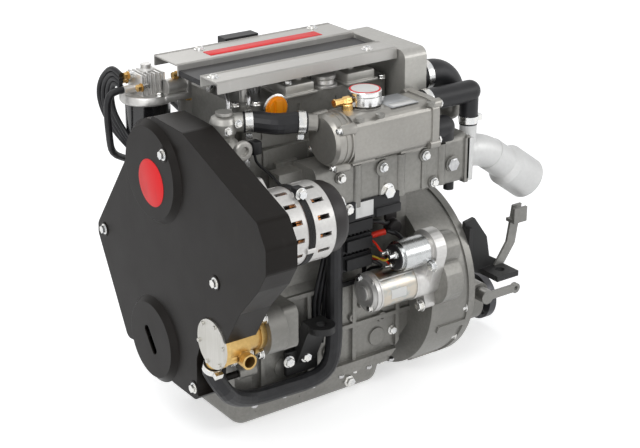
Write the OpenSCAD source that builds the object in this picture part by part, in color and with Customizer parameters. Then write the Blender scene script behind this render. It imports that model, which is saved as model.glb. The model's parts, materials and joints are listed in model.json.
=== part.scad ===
// Three-cylinder inboard marine diesel engine with its gearbox.
// Engine coordinates: x runs back from the face of the belt cover, z up from the crankshaft's axis, and
// -y is the side of the heat exchanger, the alternator and the starter.
// The part's origin is the centre of the four bolt holes in the engine feet, on the underside of the feet.

/* [Cylinders] */
// Bore of each cylinder
bore = 88; // [84:1:90]
// Stroke of each piston
stroke = 90; // [86:1:94]
// Distance between neighbouring cylinders
cylinder_pitch = 100; // [98:1:106]
// Length of a connecting rod between its pin centres
rod_length = 150; // [147:1:156]
// Height of a piston above its pin
piston_crown_h = 45; // [42:1:48]
// Radius of the crankshaft's main journals
main_journal_r = 26; // [24:1:28]
// Radius of the crank pins
crank_pin_r = 23; // [21:1:24]
// Radius of a rod's big end
big_end_r = 33; // [31:1:35]

/* [Block and head] */
// Block beyond the end cylinders, at each end
end_wall = 20; // [18:1:26]
// Thickness of the walls that carry the main bearings
bulkhead_t = 24; // [22:1:27]
// Space round the turning crank
crank_room = 14; // [12:1:18]
// Thickness of the crankcase wall
crankcase_wall = 8; // [6:1:12]
// Depth of the crankcase below the crankshaft
skirt_depth = 108; // [104:1:112]
// Wall and water jacket beside each bore
jacket_t = 44; // [42:1:46]
// Height of the cylinder head
head_h = 82; // [78:1:88]
// Height of the rocker cover
rocker_cover_h = 78; // [72:1:82]
// Half width of the rocker cover
rocker_cover_half = 80; // [77:1:84]

/* [Oil pan] */
// Depth of the oil pan below its flange
pan_depth = 60; // [54:1:66]
// Wall of the oil pan
pan_wall = 4; // [3:0.5:6]
// Width of the bolted flange round the crankcase
pan_flange = 12; // [10:1:14]

/* [Timing gears] */
// Size of the gear teeth
tooth_module = 2.5; // [2.4:0.1:2.6]
// Width of the timing gears
gear_w = 12; // [8:1:13]
// Wall of the timing case
case_wall = 6; // [5:1:8]
// Depth of the timing case
case_depth = 33; // [31:1:38]
// Distance from the crankshaft to the camshaft, across the engine
cam_y = 76; // [74:1:78]
// Height of the camshaft
cam_z = 118; // [116:1:122]
// Radius of the camshaft's bearings
cam_journal_r = 21; // [20:0.5:22]

/* [Belt drive] */
// Depth of the belt cover
cover_depth = 55; // [50:1:60]
// Wall of the belt cover
cover_wall = 3; // [2:0.5:4]
// How far the round bulges stand out of the cover
cover_bulge = 10; // [7:1:12]
// Space between the belt cover and the timing case
case_gap = 27; // [24:1:30]
// Width of the belt
belt_w = 20; // [16:1:22]
// Thickness of the belt
belt_t = 5; // [4:0.5:6]
// Radius of the crankshaft pulley
crank_pulley_r = 50; // [46:1:52]
// Radius of the coolant pump's pulley
coolant_pulley_r = 56; // [52:1:58]
// Radius of the alternator's pulley
alternator_pulley_r = 30; // [27:1:31]

/* [Alternator] */
// Radius of the alternator's castings
alternator_r = 62; // [60:1:64]
// Length of each alternator casting
alternator_casting_l = 38; // [34:1:42]
// Width of the bare stator ring between the castings
stator_w = 12; // [8:1:16]
// Radius of the alternator's rear cap
alternator_cap_r = 44; // [40:1:48]

/* [Sea water pump] */
// Radius of the pump body
sea_pump_r = 37; // [34:1:39]
// Length of the round part of the pump body
sea_pump_l = 46; // [42:1:52]
// Outer radius of the pump's pipe stubs
stub_r = 12.7; // [11.5:0.1:13.5]
// Bore radius of the pump's pipe stubs
stub_bore_r = 9.5; // [8.5:0.1:10.5]

/* [Cooling] */
// Radius of the heat exchanger
exchanger_r = 42; // [40:1:44]
// Length of the heat exchanger
exchanger_l = 209; // [200:1:216]
// Radius of the coolant hose
coolant_hose_r = 17; // [15:0.5:18]
// Radius of the sea water hose
sea_hose_r = 14.5; // [13:0.5:15]
// Radius of the pressure cap
pressure_cap_r = 27; // [24:1:30]

/* [Exhaust] */
// Outer radius of the exhaust elbow
elbow_r = 28; // [26:1:31]
// Wall of the exhaust elbow
elbow_wall = 4; // [3:0.5:5]
// Radius of the elbow's bend
elbow_bend_r = 100; // [90:1:110]
// Angle through which the elbow turns down
elbow_angle = 36; // [30:1:42]
// Outer radius of the wide mouth for the exhaust hose
mouth_r = 38; // [35:1:40]
// Length of the wide mouth
mouth_l = 60; // [50:1:70]

/* [Starter] */
// Teeth on the starter pinion
pinion_teeth = 12; // [12:1:12]
// Teeth on the flywheel's ring gear
ring_teeth = 116; // [116:4:120]
// Radius of the starter motor
starter_r = 34; // [32:1:35]
// Length of the starter motor's can
starter_can_l = 80; // [74:1:84]
// Radius of the solenoid
solenoid_r = 27; // [25:1:27]

/* [Flywheel housing and gearbox] */
// Depth of the flywheel housing
bell_depth = 95; // [92:1:104]
// Wall of the flywheel housing
bell_wall = 14; // [10:1:16]
// Thickness of the flywheel
flywheel_t = 30; // [24:1:34]
// Length of the gearbox
gearbox_l = 95; // [90:1:100]
// Teeth on the gearbox's input gear
input_teeth = 18; // [18:1:19]
// Teeth on the gearbox's transfer gear
transfer_teeth = 17; // [16:1:17]
// Teeth on the gearbox's output gear
output_teeth = 38; // [36:1:38]
// Radius of the propeller shaft coupling
coupling_r = 46; // [44:1:50]
// Thickness of the propeller shaft coupling
coupling_t = 16; // [12:1:20]
// Diameter of the circle of coupling bolts
coupling_pcd = 70; // [68:1:74]
// Radius of each coupling bolt hole
coupling_hole_r = 5.25; // [4.5:0.25:5.5]
// Length of the shift lever between its hub and its eye
lever_l = 70; // [64:1:78]

/* [Feet] */
// Distance between the front and rear foot bolts
foot_spacing_x = 392; // [388:1:400]
// Distance across the engine between the foot bolts
foot_spacing_y = 320; // [314:1:330]
// Height of the underside of the feet above the crankshaft
foot_z = 14; // [10:1:18]
// Radius of the foot bolt holes
foot_hole_r = 9; // [7:0.5:11]
// Thickness of the foot plates
foot_t = 12; // [9:1:14]

/* [Top rails] */
// Length of the top rails
rail_l = 348; // [336:1:356]
// Height of the side walls of the rails
rail_h = 18; // [14:1:22]
// Sheet thickness of the rails
rail_t = 2.5; // [2:0.5:4]
// Height of the rails above the rocker cover
rail_gap = 33; // [31:1:38]

/* [Filter and caps] */
// Radius of the fuel filter can
filter_r = 38; // [34:1:40]
// Length of the fuel filter can
filter_l = 100; // [90:1:115]
// Radius of the oil filter
oil_filter_r = 38; // [34:1:40]
// Radius of the oil filler cap
filler_cap_r = 20; // [18:1:22]
// Length of the dipstick's blade
dipstick_l = 255; // [240:1:260]

/* [Hidden] */
$fn = 64;

// Running clearance of shafts, gap beside moving parts, and overrun of cuts
run = 0.05;
gap = 0.5;
skin_gap = 0.3;
over = 1;
cylinders = 3;
corner_fn = 24;
hose_sides = 14;

// Bolt proportions, as shares of the thread radius
washer_r_share = 2.3;
washer_h_share = 0.4;
bolt_head_r_share = 1.75;
bolt_head_h_share = 1.3;
small_bolt_r = 4;
large_bolt_r = 6;

// Places along the engine
belt_x = cover_depth - 33;
case_x = cover_depth + case_gap;
block_x = case_x + case_depth;
block_l = 2 * end_wall + cylinders * cylinder_pitch;
block_end_x = block_x + block_l;
bell_end_x = block_end_x + bell_depth;
gearbox_end_x = bell_end_x + gearbox_l;
function cylinder_x(i) = block_x + end_wall + cylinder_pitch * (i + 0.5);
function bulkhead_x(i) = block_x + end_wall + cylinder_pitch * i;

// Heights
squish = 0.5;
crank_r = stroke / 2;
deck_z = crank_r + rod_length + piston_crown_h + squish;
head_z = deck_z + head_h;
rocker_z = head_z + rocker_cover_h;
rail_z = rocker_z + rail_gap;
rail_top_z = rail_z + rail_h;
pan_z = -skirt_depth;
pan_bottom_z = pan_z - pan_depth;

// Crankcase
sweep_r = crank_r + big_end_r;
bay_r = sweep_r + crank_room;
case_half = bay_r + crankcase_wall;
upper_half = bore / 2 + jacket_t;
flange_half = case_half + pan_flange;
cam_side = cam_y + cam_journal_r + crankcase_wall;
bay_l = cylinder_pitch - bulkhead_t;
bore_start_z = bore * 0.8;
shoulder_z = case_half * 0.6;
tail_cut = 45;
rib_t = 8;
rib_out = 6;
idler_pin_r = 12;
idler_pin_l = case_depth - case_wall - gap;
pushrod_hole_r = 7;
valve_offset = 16;
core_plug_r = 17;
core_plug_t = 3;

// Crank
crank_web_r = 34;
crank_web_half = 30;
counterweight_r = sweep_r - gap;
counterweight_half = 52;
pin_l = 30;
snout_r = 20;
crank_flange_r = 40;
crank_flange_x = block_end_x + 3;
piston_gap = 0.15;
piston_skirt = 30;
piston_wall = 7;
wrist_pin_r = 11;
wrist_boss_r = 18;
rod_w = 20;
rod_shank_w = 24;
throws = [0, 120, 240];

// Timing gears
crank_teeth = 24;
idler_teeth = 28;
cam_teeth = 48;
water_idler_teeth = 56;
sea_pump_teeth = 24;
fuel_pump_teeth = 24;
gear_x = case_x + case_wall + 4;
tooth_out_share = 0.85;
tooth_root_share = 1.2;
tooth_tip_share = 0.15;
tooth_foot_share = 0.34;
gear_hub_r = 19;
case_clear = 4;
sea_pump_y = -183;
sea_pump_z = 65;
fuel_pump_angle = -20;
sea_shaft_r = 8;
fuel_shaft_r = 10;
fuel_pump_r = 34;
fuel_pump_l = 95;

function pitch_r(teeth) = teeth * tooth_module / 2;
function outer_r(teeth) = pitch_r(teeth) + tooth_out_share * tooth_module;
function mesh_turn(turn, from_teeth, to_teeth, a) =
    a + 180 + 180 / to_teeth - (turn - a) * from_teeth / to_teeth;
function angle_of(p) = atan2(p[1], p[0]);
// The corner of a triangle whose sides a and b leave the ends of the line from p to q
function corner(p, q, a, b, side) =
    let (d = norm(q - p), s = (a * a - b * b + d * d) / (2 * d), h = sqrt(max(0, a * a - s * s)),
         u = (q - p) / d)
    p + u * s + side * h * [-u[1], u[0]];

crank_at = [0, 0];
cam_at = [cam_y, cam_z];
sea_pump_at = [sea_pump_y, sea_pump_z];
idler_at = corner(crank_at, cam_at, pitch_r(crank_teeth) + pitch_r(idler_teeth),
    pitch_r(idler_teeth) + pitch_r(cam_teeth), -1);
water_idler_at = corner(crank_at, sea_pump_at, pitch_r(crank_teeth) + pitch_r(water_idler_teeth),
    pitch_r(water_idler_teeth) + pitch_r(sea_pump_teeth), -1);
fuel_pump_at = cam_at + (pitch_r(cam_teeth) + pitch_r(fuel_pump_teeth)) * [cos(fuel_pump_angle), sin(fuel_pump_angle)];

idler_turn = mesh_turn(0, crank_teeth, idler_teeth, angle_of(idler_at));
cam_turn = mesh_turn(idler_turn, idler_teeth, cam_teeth, angle_of(cam_at - idler_at));
fuel_pump_turn = mesh_turn(cam_turn, cam_teeth, fuel_pump_teeth, fuel_pump_angle);
water_idler_turn = mesh_turn(0, crank_teeth, water_idler_teeth, angle_of(water_idler_at));
sea_pump_turn = mesh_turn(water_idler_turn, water_idler_teeth, sea_pump_teeth,
    angle_of(sea_pump_at - water_idler_at));

// Belt drive
coolant_pump_at = [-20, deck_z + 58];
alternator_at = [-235, deck_z + 15];
groove_n = 4;
groove_depth = 3;
pulley_hub_r = 26;
pulley_web_t = 6;
shaft_r = 8;
nut_r = 15;
nut_h = 10;
pulley_washer_r = 24;
pulley_washer_t = 6;
// The cover's outline, across and up, as shares of its half width and height
cover_w = 526;
cover_h = 470;
cover_outline_shares = [
    [0.359, 0.270], [0.356, 0.311], [0.126, 0.650], [-0.040, 0.838], [-0.213, 0.832], [-0.600, 0.664],
    [-0.641, 0.590], [-0.641, 0.505], [-0.600, 0.432], [-0.502, 0.313], [-0.290, -0.060],
    [-0.240, -0.128], [-0.180, -0.128], [-0.100, -0.128], [0.100, -0.068], [0.190, -0.083]
];
cover_corner_r = 14;
crank_bulge_r = 75;
top_bulge_at = [-20, deck_z + 60];
top_bulge_r = 85;
bulge_slope = 9;
window_l = 52;
window_w = 16;
window_angle = 54;
notch_r = 42;
hose_notch_at = [[-160, 12], [-158, -36]];
hose_notch_r = 28;
cover_post_r = 6;
cover_bolt_places = [[-0.130, 0.735], [0.312, 0.300], [-0.373, 0.370], [-0.230, -0.085]];
cover_bolt_r = 4;
// The cover bolts whose posts stand on the timing case
case_bolts = [1, 3];
bulge_bolt = 0;

// Alternator
alternator_x = 66;
alternator_wall = 5;
alternator_gap = 0.3;
stator_r_share = 0.74;
rotor_r_share = 0.7;
winding_l = 16;
slot_n = 14;
slot_w = 7;
slot_l = 20;
alternator_cap_l = 28;
lug_r = 13;
lug_t = 14;
lug_dist = alternator_r + lug_r + over;
lug_low_at = alternator_at + lug_dist * [0.371, -0.928];
lug_high_at = alternator_at + lug_dist * [0.747, 0.664];
fan_t = 8;

// Sea water pump
sea_plate_r = 41;
sea_plate_t = 4;
sea_flange_r = 40;
sea_flange_t = 10;
sea_ear_r = 12;
sea_neck_r = 26;
sea_chamber_r = 30;
sea_chamber_l = 30;
impeller_vanes = 6;
vane_t = 4;
stub_l = 30;
stub_in_angle = 140;
stub_out_angle = 60;
sea_stub_x = 26;

// Heat exchanger and manifold
exchanger_x = 218;
exchanger_y = -170;
exchanger_z = head_z + 28;
exchanger_cap_l = 34;
exchanger_corner_r = 20;
saddle_half = 45;
neck_x = 308;
neck_y = -160;
neck_r = 20;
neck_z = exchanger_z + 50;
cap_t = 8;
cap_rim_h = 12;
manifold_x = 165;
manifold_l = 360;
manifold_out = 77;
manifold_boss_shares = [[0.49, 0.55], [0.902, 0]];
manifold_boss_r = 14;
manifold_boss_h = 4;
manifold_bottom_z = deck_z - 25;
manifold_top_z = exchanger_z - exchanger_r - 8;
manifold_corner_r = 12;
port_flange_t = 9;
port_flange_half = 32;
port_flange_h = 50;
elbow_y = -130;
elbow_z = deck_z + 14;
elbow_flange_t = 10;
elbow_flange_half = 44;
elbow_flange_out = 40;
elbow_lead = 26;
seam_rise = 1.2;
seam_lap = 5;
elbow_tail = 46;
mouth_slope_l = 10;
spray_boss_r = 15;
spray_boss_h = 20;

// Thermostat elbow
thermo_x = 62;
thermo_y = -92;
thermo_z = head_z + 26;
thermo_r = 22;
thermo_h = 72;

// Starter
starter_gap = 0.3;
ring_pitch_r = ring_teeth * tooth_module / 2;
starter_dist = (ring_teeth + pinion_teeth) * tooth_module / 2;
starter_angle = 160.6;
starter_y = starter_dist * cos(starter_angle);
starter_z = starter_dist * sin(starter_angle);
starter_cap_l = 12;
drive_l = 44;
starter_x = block_end_x - drive_l - starter_can_l - starter_cap_l;
solenoid_y = starter_y - 17;
solenoid_z = starter_z + 59.5;
solenoid_l = 58;
pinion_w = 12;
pinion_x = block_end_x - 7;
pinion_throw = 16;
armature_shaft_r = 6;

// Flywheel housing and gearbox
bell_face_t = 8;
bell_room = 9;
bell_in_r = ring_pitch_r + bell_room;
bell_r = bell_in_r + bell_wall;
bell_back_r = 118;
starter_lobe_r = 48;
flywheel_x = block_end_x + 15;
input_shaft_r = 14;
transfer_z = -pitch_r(input_teeth) - pitch_r(transfer_teeth);
output_z = transfer_z - pitch_r(transfer_teeth) - pitch_r(output_teeth);
transfer_pin_r = 8;
output_shaft_r = 17;
gearbox_wall = 6;
gear_plane_x = bell_end_x + 28;
case_top_r = 74;
tail_r = 40;
tail_l = 45;
coupling_x = gearbox_end_x + tail_l + 12;
lever_x = gearbox_end_x + 12;
lever_z = output_z + 42;
lever_hub_r = 14;
lever_hub_l = 24;
lever_boss_r = 20;
lever_boss_y = -64;
lever_w = 14;
lever_t = 8;
lever_eye_r = 10;
lever_hole_r = 4.2;

// Feet
foot_front_x = 224;
foot_mid_x = foot_front_x + foot_spacing_x / 2;
foot_y = foot_spacing_y / 2;
foot_rear_x = foot_front_x + foot_spacing_x;
foot_eye_r = 23;
foot_base_l = 52;
foot_base_t = 10;
foot_arm_w = 30;
rear_plate_y = 130;
rear_plate_t = 8;

// Top rails and intake
rail_x = 74;
rail_far_y = 100;
rail_far_in_y = 23;
rail_near_in_y = -45;
rail_near_y = -97;
channel_drop = 9;
rail_post_r = 7;
silencer_x = 424;
silencer_w = 46;
silencer_half = 118;
silencer_z = head_z + 23;
silencer_top_z = rail_top_z - 3;
silencer_corner_r = 16;
intake_out = 52;
intake_h = 52;
intake_x = 150;
intake_l = 255;

// Fuel system
filter_at = [76, 132];
filter_top_z = head_z + 46;
filter_head_h = 12;
filter_head_r = 44;
fin_t = 3;
fin_n = 4;
rail_pipe_r = 3;
rail_tube_r = 11;
rail_tube_y = 106;
rail_tube_z = head_z + 6;
injector_r = 9;
injector_y = -28;
injector_top = 14;
fuel_hose_r = 6;

// Caps, stick and filter
filler_x = 187;
filler_z = head_z + 66;
filler_neck_r = 14;
filler_neck_h = 6;
grip_w = 12;
grip_h = 12;
cap_disc_h = 8;
stick_at = [255, case_half, 0];
stick_tilt = 30;
stick_r = 2.5;
stick_bore_r = 3;
stick_tube_r = 4.5;
stick_tube_l = 110;
stick_root_l = 12;
stick_collar_r = 6;
stick_collar_h = 10;
stick_ring_r = 14;
stick_ring_hole_r = 9;
stick_ring_t = 5;
oil_filter_x = 300;
oil_filter_z = 6;
oil_filter_l = 90;

// Wiring
plug_x = 287;
plug_l = 60;
plug_y = -106;
plug_d = 26;
plug_h = 28;
plug_pitch = 33;
plug_low_z = 92;
plug_lug = 4;
plug_neck = 8;
plate_t = 4;
plate_low_z = shoulder_z - rib_t;
relay_x = rail_x + 137;
rail_screw_shares = [[0.036, 0.168], [0.868, 0.112], [0.221, 0.924], [0.875, 0.929]];
rail_screw_r = 6;
rail_screw_h = 3;
relay_l = 66;
relay_d = 24;
relay_h = 22;
sensor_back = 19;
sensor_at = [manifold_x + manifold_l - sensor_back, -140];
sensor_r = 9;
sensor_l = 18;

// Pieces whose sizes rest on the ones above
valve_r = 15;
valve_head_t = 4;
valve_stem_r = 4;
spring_r = 12;
spring_l = 34;
rocker_shaft_r = 9;
rocker_h = 14;
rocker_w = 14;
stand_t = 5;
tappet_r = 6;
tappet_l = 34;
pushrod_tilt = 4.2;
pushrod_rise = head_z + spring_l - cam_z;
pushrod_top_y = cam_y - pushrod_rise * tan(pushrod_tilt);
pan_x = case_x + 6;
pan_l = block_end_x - tail_cut + 4 - pan_x;
pan_lip = 8;
pan_inset = 8;
pan_corner_r = 26;
back_plate_t = 8;
lobe_l = 26;
case_bolt_angle = 235;
cam_hub_r = 16;
cam_lobe_out = 3.5;
pump_body_r = 40;
pump_body_x = cover_depth + 9;
alternator_mid_x = alternator_x + alternator_casting_l;
alternator_end_x = alternator_x + 2 * alternator_casting_l + stator_w;
bracket_t = 10;
strap_t = 6;
strap_z = deck_z + 33;
bracket_feet = [[-135, 105], [-100, 128]];
sea_in_x = 36;
sea_in_drop = 22;
sea_in_l = 50;
stub_step = 0.5;
stub_tip_l = 12;
sea_out_x = 15;
sea_out_angle = 117;
sea_out_l = 56;
// Ends and directions of the coolant hose between the thermostat elbow and the heat exchanger
hose_a = [116, -100, head_z + 60];
hose_a_dir = [0.88, -0.45, 0];
hose_b = [206, -145, head_z + 54];
hose_b_dir = [0.9, -0.43, -0.08];
hose_end_l = 9;
tee_start_x = exchanger_x + exchanger_l + 14;
tee_out = 23;
tee_at = [manifold_x + manifold_l + tee_out, -137, head_z + 42];
tee_r = 19;
tee_stem_r = 16;
tee_low_z = elbow_z + elbow_flange_half + 8;
low_hose_r = 20;
low_hose_out = 47;
low_hose_at = [exchanger_x + exchanger_l + low_hose_out, -158, manifold_top_z + low_hose_r + skin_gap];
low_stub_l = 10;
low_hose_x = exchanger_x + exchanger_l + low_stub_l;
sea_hose_dir = [0, -cos(sea_out_angle), -sin(sea_out_angle)];
sea_hose_start = [sea_out_x, sea_pump_y, sea_pump_z] + sea_out_l * sea_hose_dir;
sea_hose_path = [[34, -156, -38], [60, -144, -66], [104, -132, -86], [166, -130, -90], [226, -130, -90],
    [258, -130, -76], [270, -130, -40], [271, -130, 20], [271, -130, 90]];
intake_hose_r = 25;
intake_hose_x = silencer_x + silencer_w + 6;
intake_hose_y = -86;
intake_hose_z = head_z + 68;
intake_bend_r = 46;
intake_lead = 26;
cross_r = 20;
cross_x = intake_hose_x + intake_lead + intake_bend_r;
cross_z = head_z - 2;
starter_nose_t = 22;
drive_room_r = 21;
pinion_turn = mesh_turn(0, ring_teeth, pinion_teeth, starter_angle);
spigot_r = 58;
gearbox_low_r = 55;
lever_pin_r = 8;
lever_boss_d = 40;
transfer_turn = mesh_turn(0, input_teeth, transfer_teeth, -90);
output_turn = mesh_turn(transfer_turn, transfer_teeth, output_teeth, -90);
silencer_y = -116;
silencer_l = 178;
// Routes of the two fuel hoses, from the filter's fittings to the pump and to the rail
fuel_hose_low = [[31, 132, 391], [22, 132, 391], [8, 133, 385], [3, 135, 366], [6, 140, 318], [20, 156, 278],
    [62, 180, 248], [120, 188, 198], [156, 176, 172], [168, 160.6, 159], [168, 160.6, 151]];
fuel_hose_high = [[76, 177, 391], [78, 186, 390], [96, 196, 382], [130, 196, 362], [144, 168, 342],
    [144, 126, 332], [148, 110, 328.5], [154, 106, 328.5]];
fuel_pump_hose_end = [168, fuel_pump_at[0], fuel_pump_at[1] + fuel_pump_r + 22 + skin_gap];
fuel_rail_hose_end = [intake_x + 12 - skin_gap, rail_tube_y, rail_tube_z];
fitting_l = 10;
fitting_r = 4.5;
fitting_z = filter_top_z + filter_head_h + 3.5 * fin_t;

module engine() translate([-foot_mid_x, 0, -foot_z]) children();
module at(x, y, z) translate([x, y, z]) children();
module xcyl(r, h) rotate([0, 90, 0]) cylinder(r = r, h = h);
module xcone(r1, r2, h) rotate([0, 90, 0]) cylinder(r1 = r1, r2 = r2, h = h);
module ycyl(r, h) rotate([90, 0, 0]) cylinder(r = r, h = h);
// A flat shape drawn across and up, extruded back along x
module across(h) rotate([90, 0, 90]) linear_extrude(height = h) children();
// A flat shape drawn along and up, extruded towards -y
module along(h) rotate([90, 0, 0]) linear_extrude(height = h) children();
module rounded(w, h, r) translate([r, r]) offset(r = r, $fn = corner_fn) square([w - 2 * r, h - 2 * r]);
module disc_at(p, r) translate(p) circle(r);
module link(p, q, r) hull() {
    translate(p) circle(r, $fn = 32);
    translate(q) circle(r, $fn = 32);
}
module bolt(r) {
    cylinder(r = r * washer_r_share, h = r * washer_h_share);
    translate([0, 0, r * washer_h_share])
        cylinder(r = r * bolt_head_r_share, h = r * bolt_head_h_share, $fn = 6);
}
module bolt_front(r) rotate([0, -90, 0]) bolt(r);
module bolt_back(r) rotate([0, 90, 0]) bolt(r);
module bolt_near(r) rotate([90, 0, 0]) bolt(r);
module bolt_far(r) rotate([-90, 0, 0]) bolt(r);

// A spur gear's outline, with a tooth on the local axis
function gear_outline(teeth) = [
    for (i = [0 : teeth - 1], k = [0 : 3])
        let (step = 360 / teeth,
             high = pitch_r(teeth) + tooth_out_share * tooth_module,
             low = pitch_r(teeth) - tooth_root_share * tooth_module,
             half = (k == 0 || k == 3) ? tooth_foot_share : tooth_tip_share,
             side = k < 2 ? -1 : 1,
             a = step * (i + side * half),
             r = (k == 0 || k == 3) ? low : high)
        r * [cos(a), sin(a)]
];
module gear(teeth, hole_r, turn, w) across(w) difference() {
    rotate(turn) polygon(gear_outline(teeth));
    circle(hole_r);
}

// A smooth line through hand-chosen points
function curve_point(a, b, c, d, t) =
    let (l = norm(c - b), u = l * unit(c - a), v = l * unit(d - b), k = t * t * (3 - 2 * t))
    b * (1 - k) + c * k + u * t * (1 - t) * (1 - t) - v * t * t * (1 - t);
function curve(p, n) = [
    for (i = [0 : len(p) - 2], k = [0 : n - 1])
        curve_point(p[max(i - 1, 0)], p[i], p[i + 1], p[min(i + 2, len(p) - 1)], k / n),
    p[len(p) - 1]
];
function unit(v) = v / norm(v);
function tangent(p, i) = unit(p[min(i + 1, len(p) - 1)] - p[max(i - 1, 0)]);
function turned(u, t) = unit(u - (u * t) * t);
function first_side(t) = turned(abs(t[2]) < 0.9 ? [0, 0, 1] : [1, 0, 0], t);
module hose(points, r, n) {
    p = curve(points, n);
    m = len(p);
    s = hose_sides;
    sides = [for (i = 0, u = first_side(tangent(p, 0)); i < m; i = i + 1, u = turned(u, tangent(p, min(i, m - 1)))) u];
    rings = [
        for (i = [0 : m - 1], k = [0 : s - 1])
            let (u = sides[i], v = cross(tangent(p, i), u), a = 360 * k / s)
            p[i] + r * (cos(a) * u + sin(a) * v)
    ];
    polyhedron(points = rings, faces = concat(
        [[for (k = [0 : s - 1]) k]],
        [[for (k = [0 : s - 1]) (m - 1) * s + s - 1 - k]],
        [for (i = [0 : m - 2], k = [0 : s - 1]) [i * s + k, (i + 1) * s + k, i * s + (k + 1) % s]],
        [for (i = [0 : m - 2], k = [0 : s - 1]) [(i + 1) * s + k, (i + 1) * s + (k + 1) % s, i * s + (k + 1) % s]]
    ));
}

// Block, head and pan
module block_outline() polygon([
    [-flange_half, pan_z], [-flange_half, pan_z + pan_flange], [-case_half, pan_z + pan_flange],
    [-case_half, shoulder_z], [-upper_half, shoulder_z + pan_flange], [-upper_half, deck_z],
    [cam_side, deck_z], [cam_side, shoulder_z], [case_half, shoulder_z - pan_flange],
    [case_half, pan_z + pan_flange], [flange_half, pan_z + pan_flange], [flange_half, pan_z]
]);
module cylinder_block() color("dimgray") engine() difference() {
    union() {
        at(block_x, 0, 0) across(block_l) block_outline();
        for (s = [0.08, 0.36, 0.64, 0.92])
            at(block_x + s * block_l, -case_half, pan_z + pan_flange) at(-rib_t / 2, -rib_out, 0)
                cube([rib_t, rib_out + over, shoulder_z - pan_z - pan_flange]);
        for (z = [shoulder_z - rib_t, -skirt_depth * 0.3])
            at(block_x, -case_half - rib_out, z) cube([block_l, rib_out + over, rib_t]);
        for (i = [0 : cylinders - 1]) {
            at(cylinder_x(i), -upper_half + over, deck_z * 0.72) ycyl(core_plug_r, core_plug_t + over);
            at(cylinder_x(i), -case_half + over, pan_z * 0.62) ycyl(core_plug_r, core_plug_t + over);
        }
        for (p = [idler_at, water_idler_at])
            at(block_x + over, p[0], p[1]) mirror([1, 0, 0]) xcyl(idler_pin_r, idler_pin_l + over);
        along_stick(-stick_root_l) cylinder(r = stick_tube_r, h = stick_tube_l + stick_root_l);
    }
    along_stick(-3 * stick_root_l) cylinder(r = stick_bore_r, h = stick_tube_l + 3 * stick_root_l + over);
    for (i = [0 : cylinders - 1]) {
        at(cylinder_x(i), 0, bore_start_z) cylinder(r = bore / 2, h = deck_z);
        at(bulkhead_x(i) + bulkhead_t / 2, 0, 0) xcyl(bay_r, bay_l);
        at(bulkhead_x(i) + bulkhead_t / 2, -bay_r, pan_z - over) cube([bay_l, 2 * bay_r, skirt_depth + over]);
        for (s = [-1, 1]) at(cylinder_x(i) + s * valve_offset, cam_y, cam_z)
            rotate([pushrod_tilt, 0, 0]) cylinder(r = pushrod_hole_r, h = deck_z);
    }
    at(block_x - over, 0, 0) xcyl(main_journal_r + run, block_l + 2 * over);
    at(block_x - over, cam_y, cam_z) xcyl(cam_journal_r + run, block_l + 2 * over);
    at(block_end_x, flange_half + over, pan_z) along(2 * flange_half + 2 * over)
        polygon([[-tail_cut + pan_flange / 3, -over], [-tail_cut, 0], [0, tail_cut], [over, tail_cut], [over, -over]]);
}

module cylinder_head() color("gray") engine() difference() {
    union() {
        at(block_x, -upper_half, deck_z) cube([block_l, 2 * upper_half, head_h]);
        for (s = [0.03, 0.14, 0.4, 0.7, 0.97])
            at(block_x + s * block_l - rib_t / 2, -upper_half - rib_out / 2, deck_z + head_h * 0.66)
                cube([rib_t, rib_out, head_h * 0.34]);
    }
    for (i = [0 : cylinders - 1]) {
        at(cylinder_x(i), injector_y, deck_z - over) cylinder(r = injector_r + run, h = head_h + 2 * over);
        for (s = [-1, 1]) at(cylinder_x(i) + s * valve_offset, 0, 0) {
            at(0, 0, deck_z - over) cylinder(r = valve_r + run, h = over + valve_head_t);
            at(0, 0, deck_z - over) cylinder(r = valve_stem_r + run, h = head_h + 2 * over);
            at(0, cam_y, cam_z) rotate([pushrod_tilt, 0, 0]) cylinder(r = pushrod_hole_r, h = head_z);
        }
    }
}

module rocker_cover() color("darkgray") engine() at(block_x + end_wall / 2, 0, head_z) {
    rc_l = silencer_x - block_x - end_wall / 2 - 6;
    difference() {
        union() {
            at(0, -rocker_cover_half, 0) linear_extrude(height = rocker_cover_h)
                rounded(rc_l, 2 * rocker_cover_half, cover_corner_r);
            at(filler_x - block_x - end_wall / 2, -rocker_cover_half + over, filler_z - head_z) ycyl(filler_neck_r, filler_neck_h + over);
        }
        at(pan_wall, -rocker_cover_half + pan_wall, -over) linear_extrude(height = rocker_cover_h - pan_wall + over)
            rounded(rc_l - 2 * pan_wall, 2 * rocker_cover_half - 2 * pan_wall, cover_corner_r - pan_wall);
        for (i = [0 : cylinders - 1])
            at(cylinder_x(i) - block_x - end_wall / 2, injector_y, 0) cylinder(r = injector_r + skin_gap, h = rocker_cover_h + over);
        for (s = [0.12, 0.37, 0.62, 0.87])
            at(rc_l * s, -rocker_cover_half - over, rocker_cover_h * 0.2) cube([rib_t / 2, over + pan_wall / 2, rocker_cover_h * 0.6]);
    }
}

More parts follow.
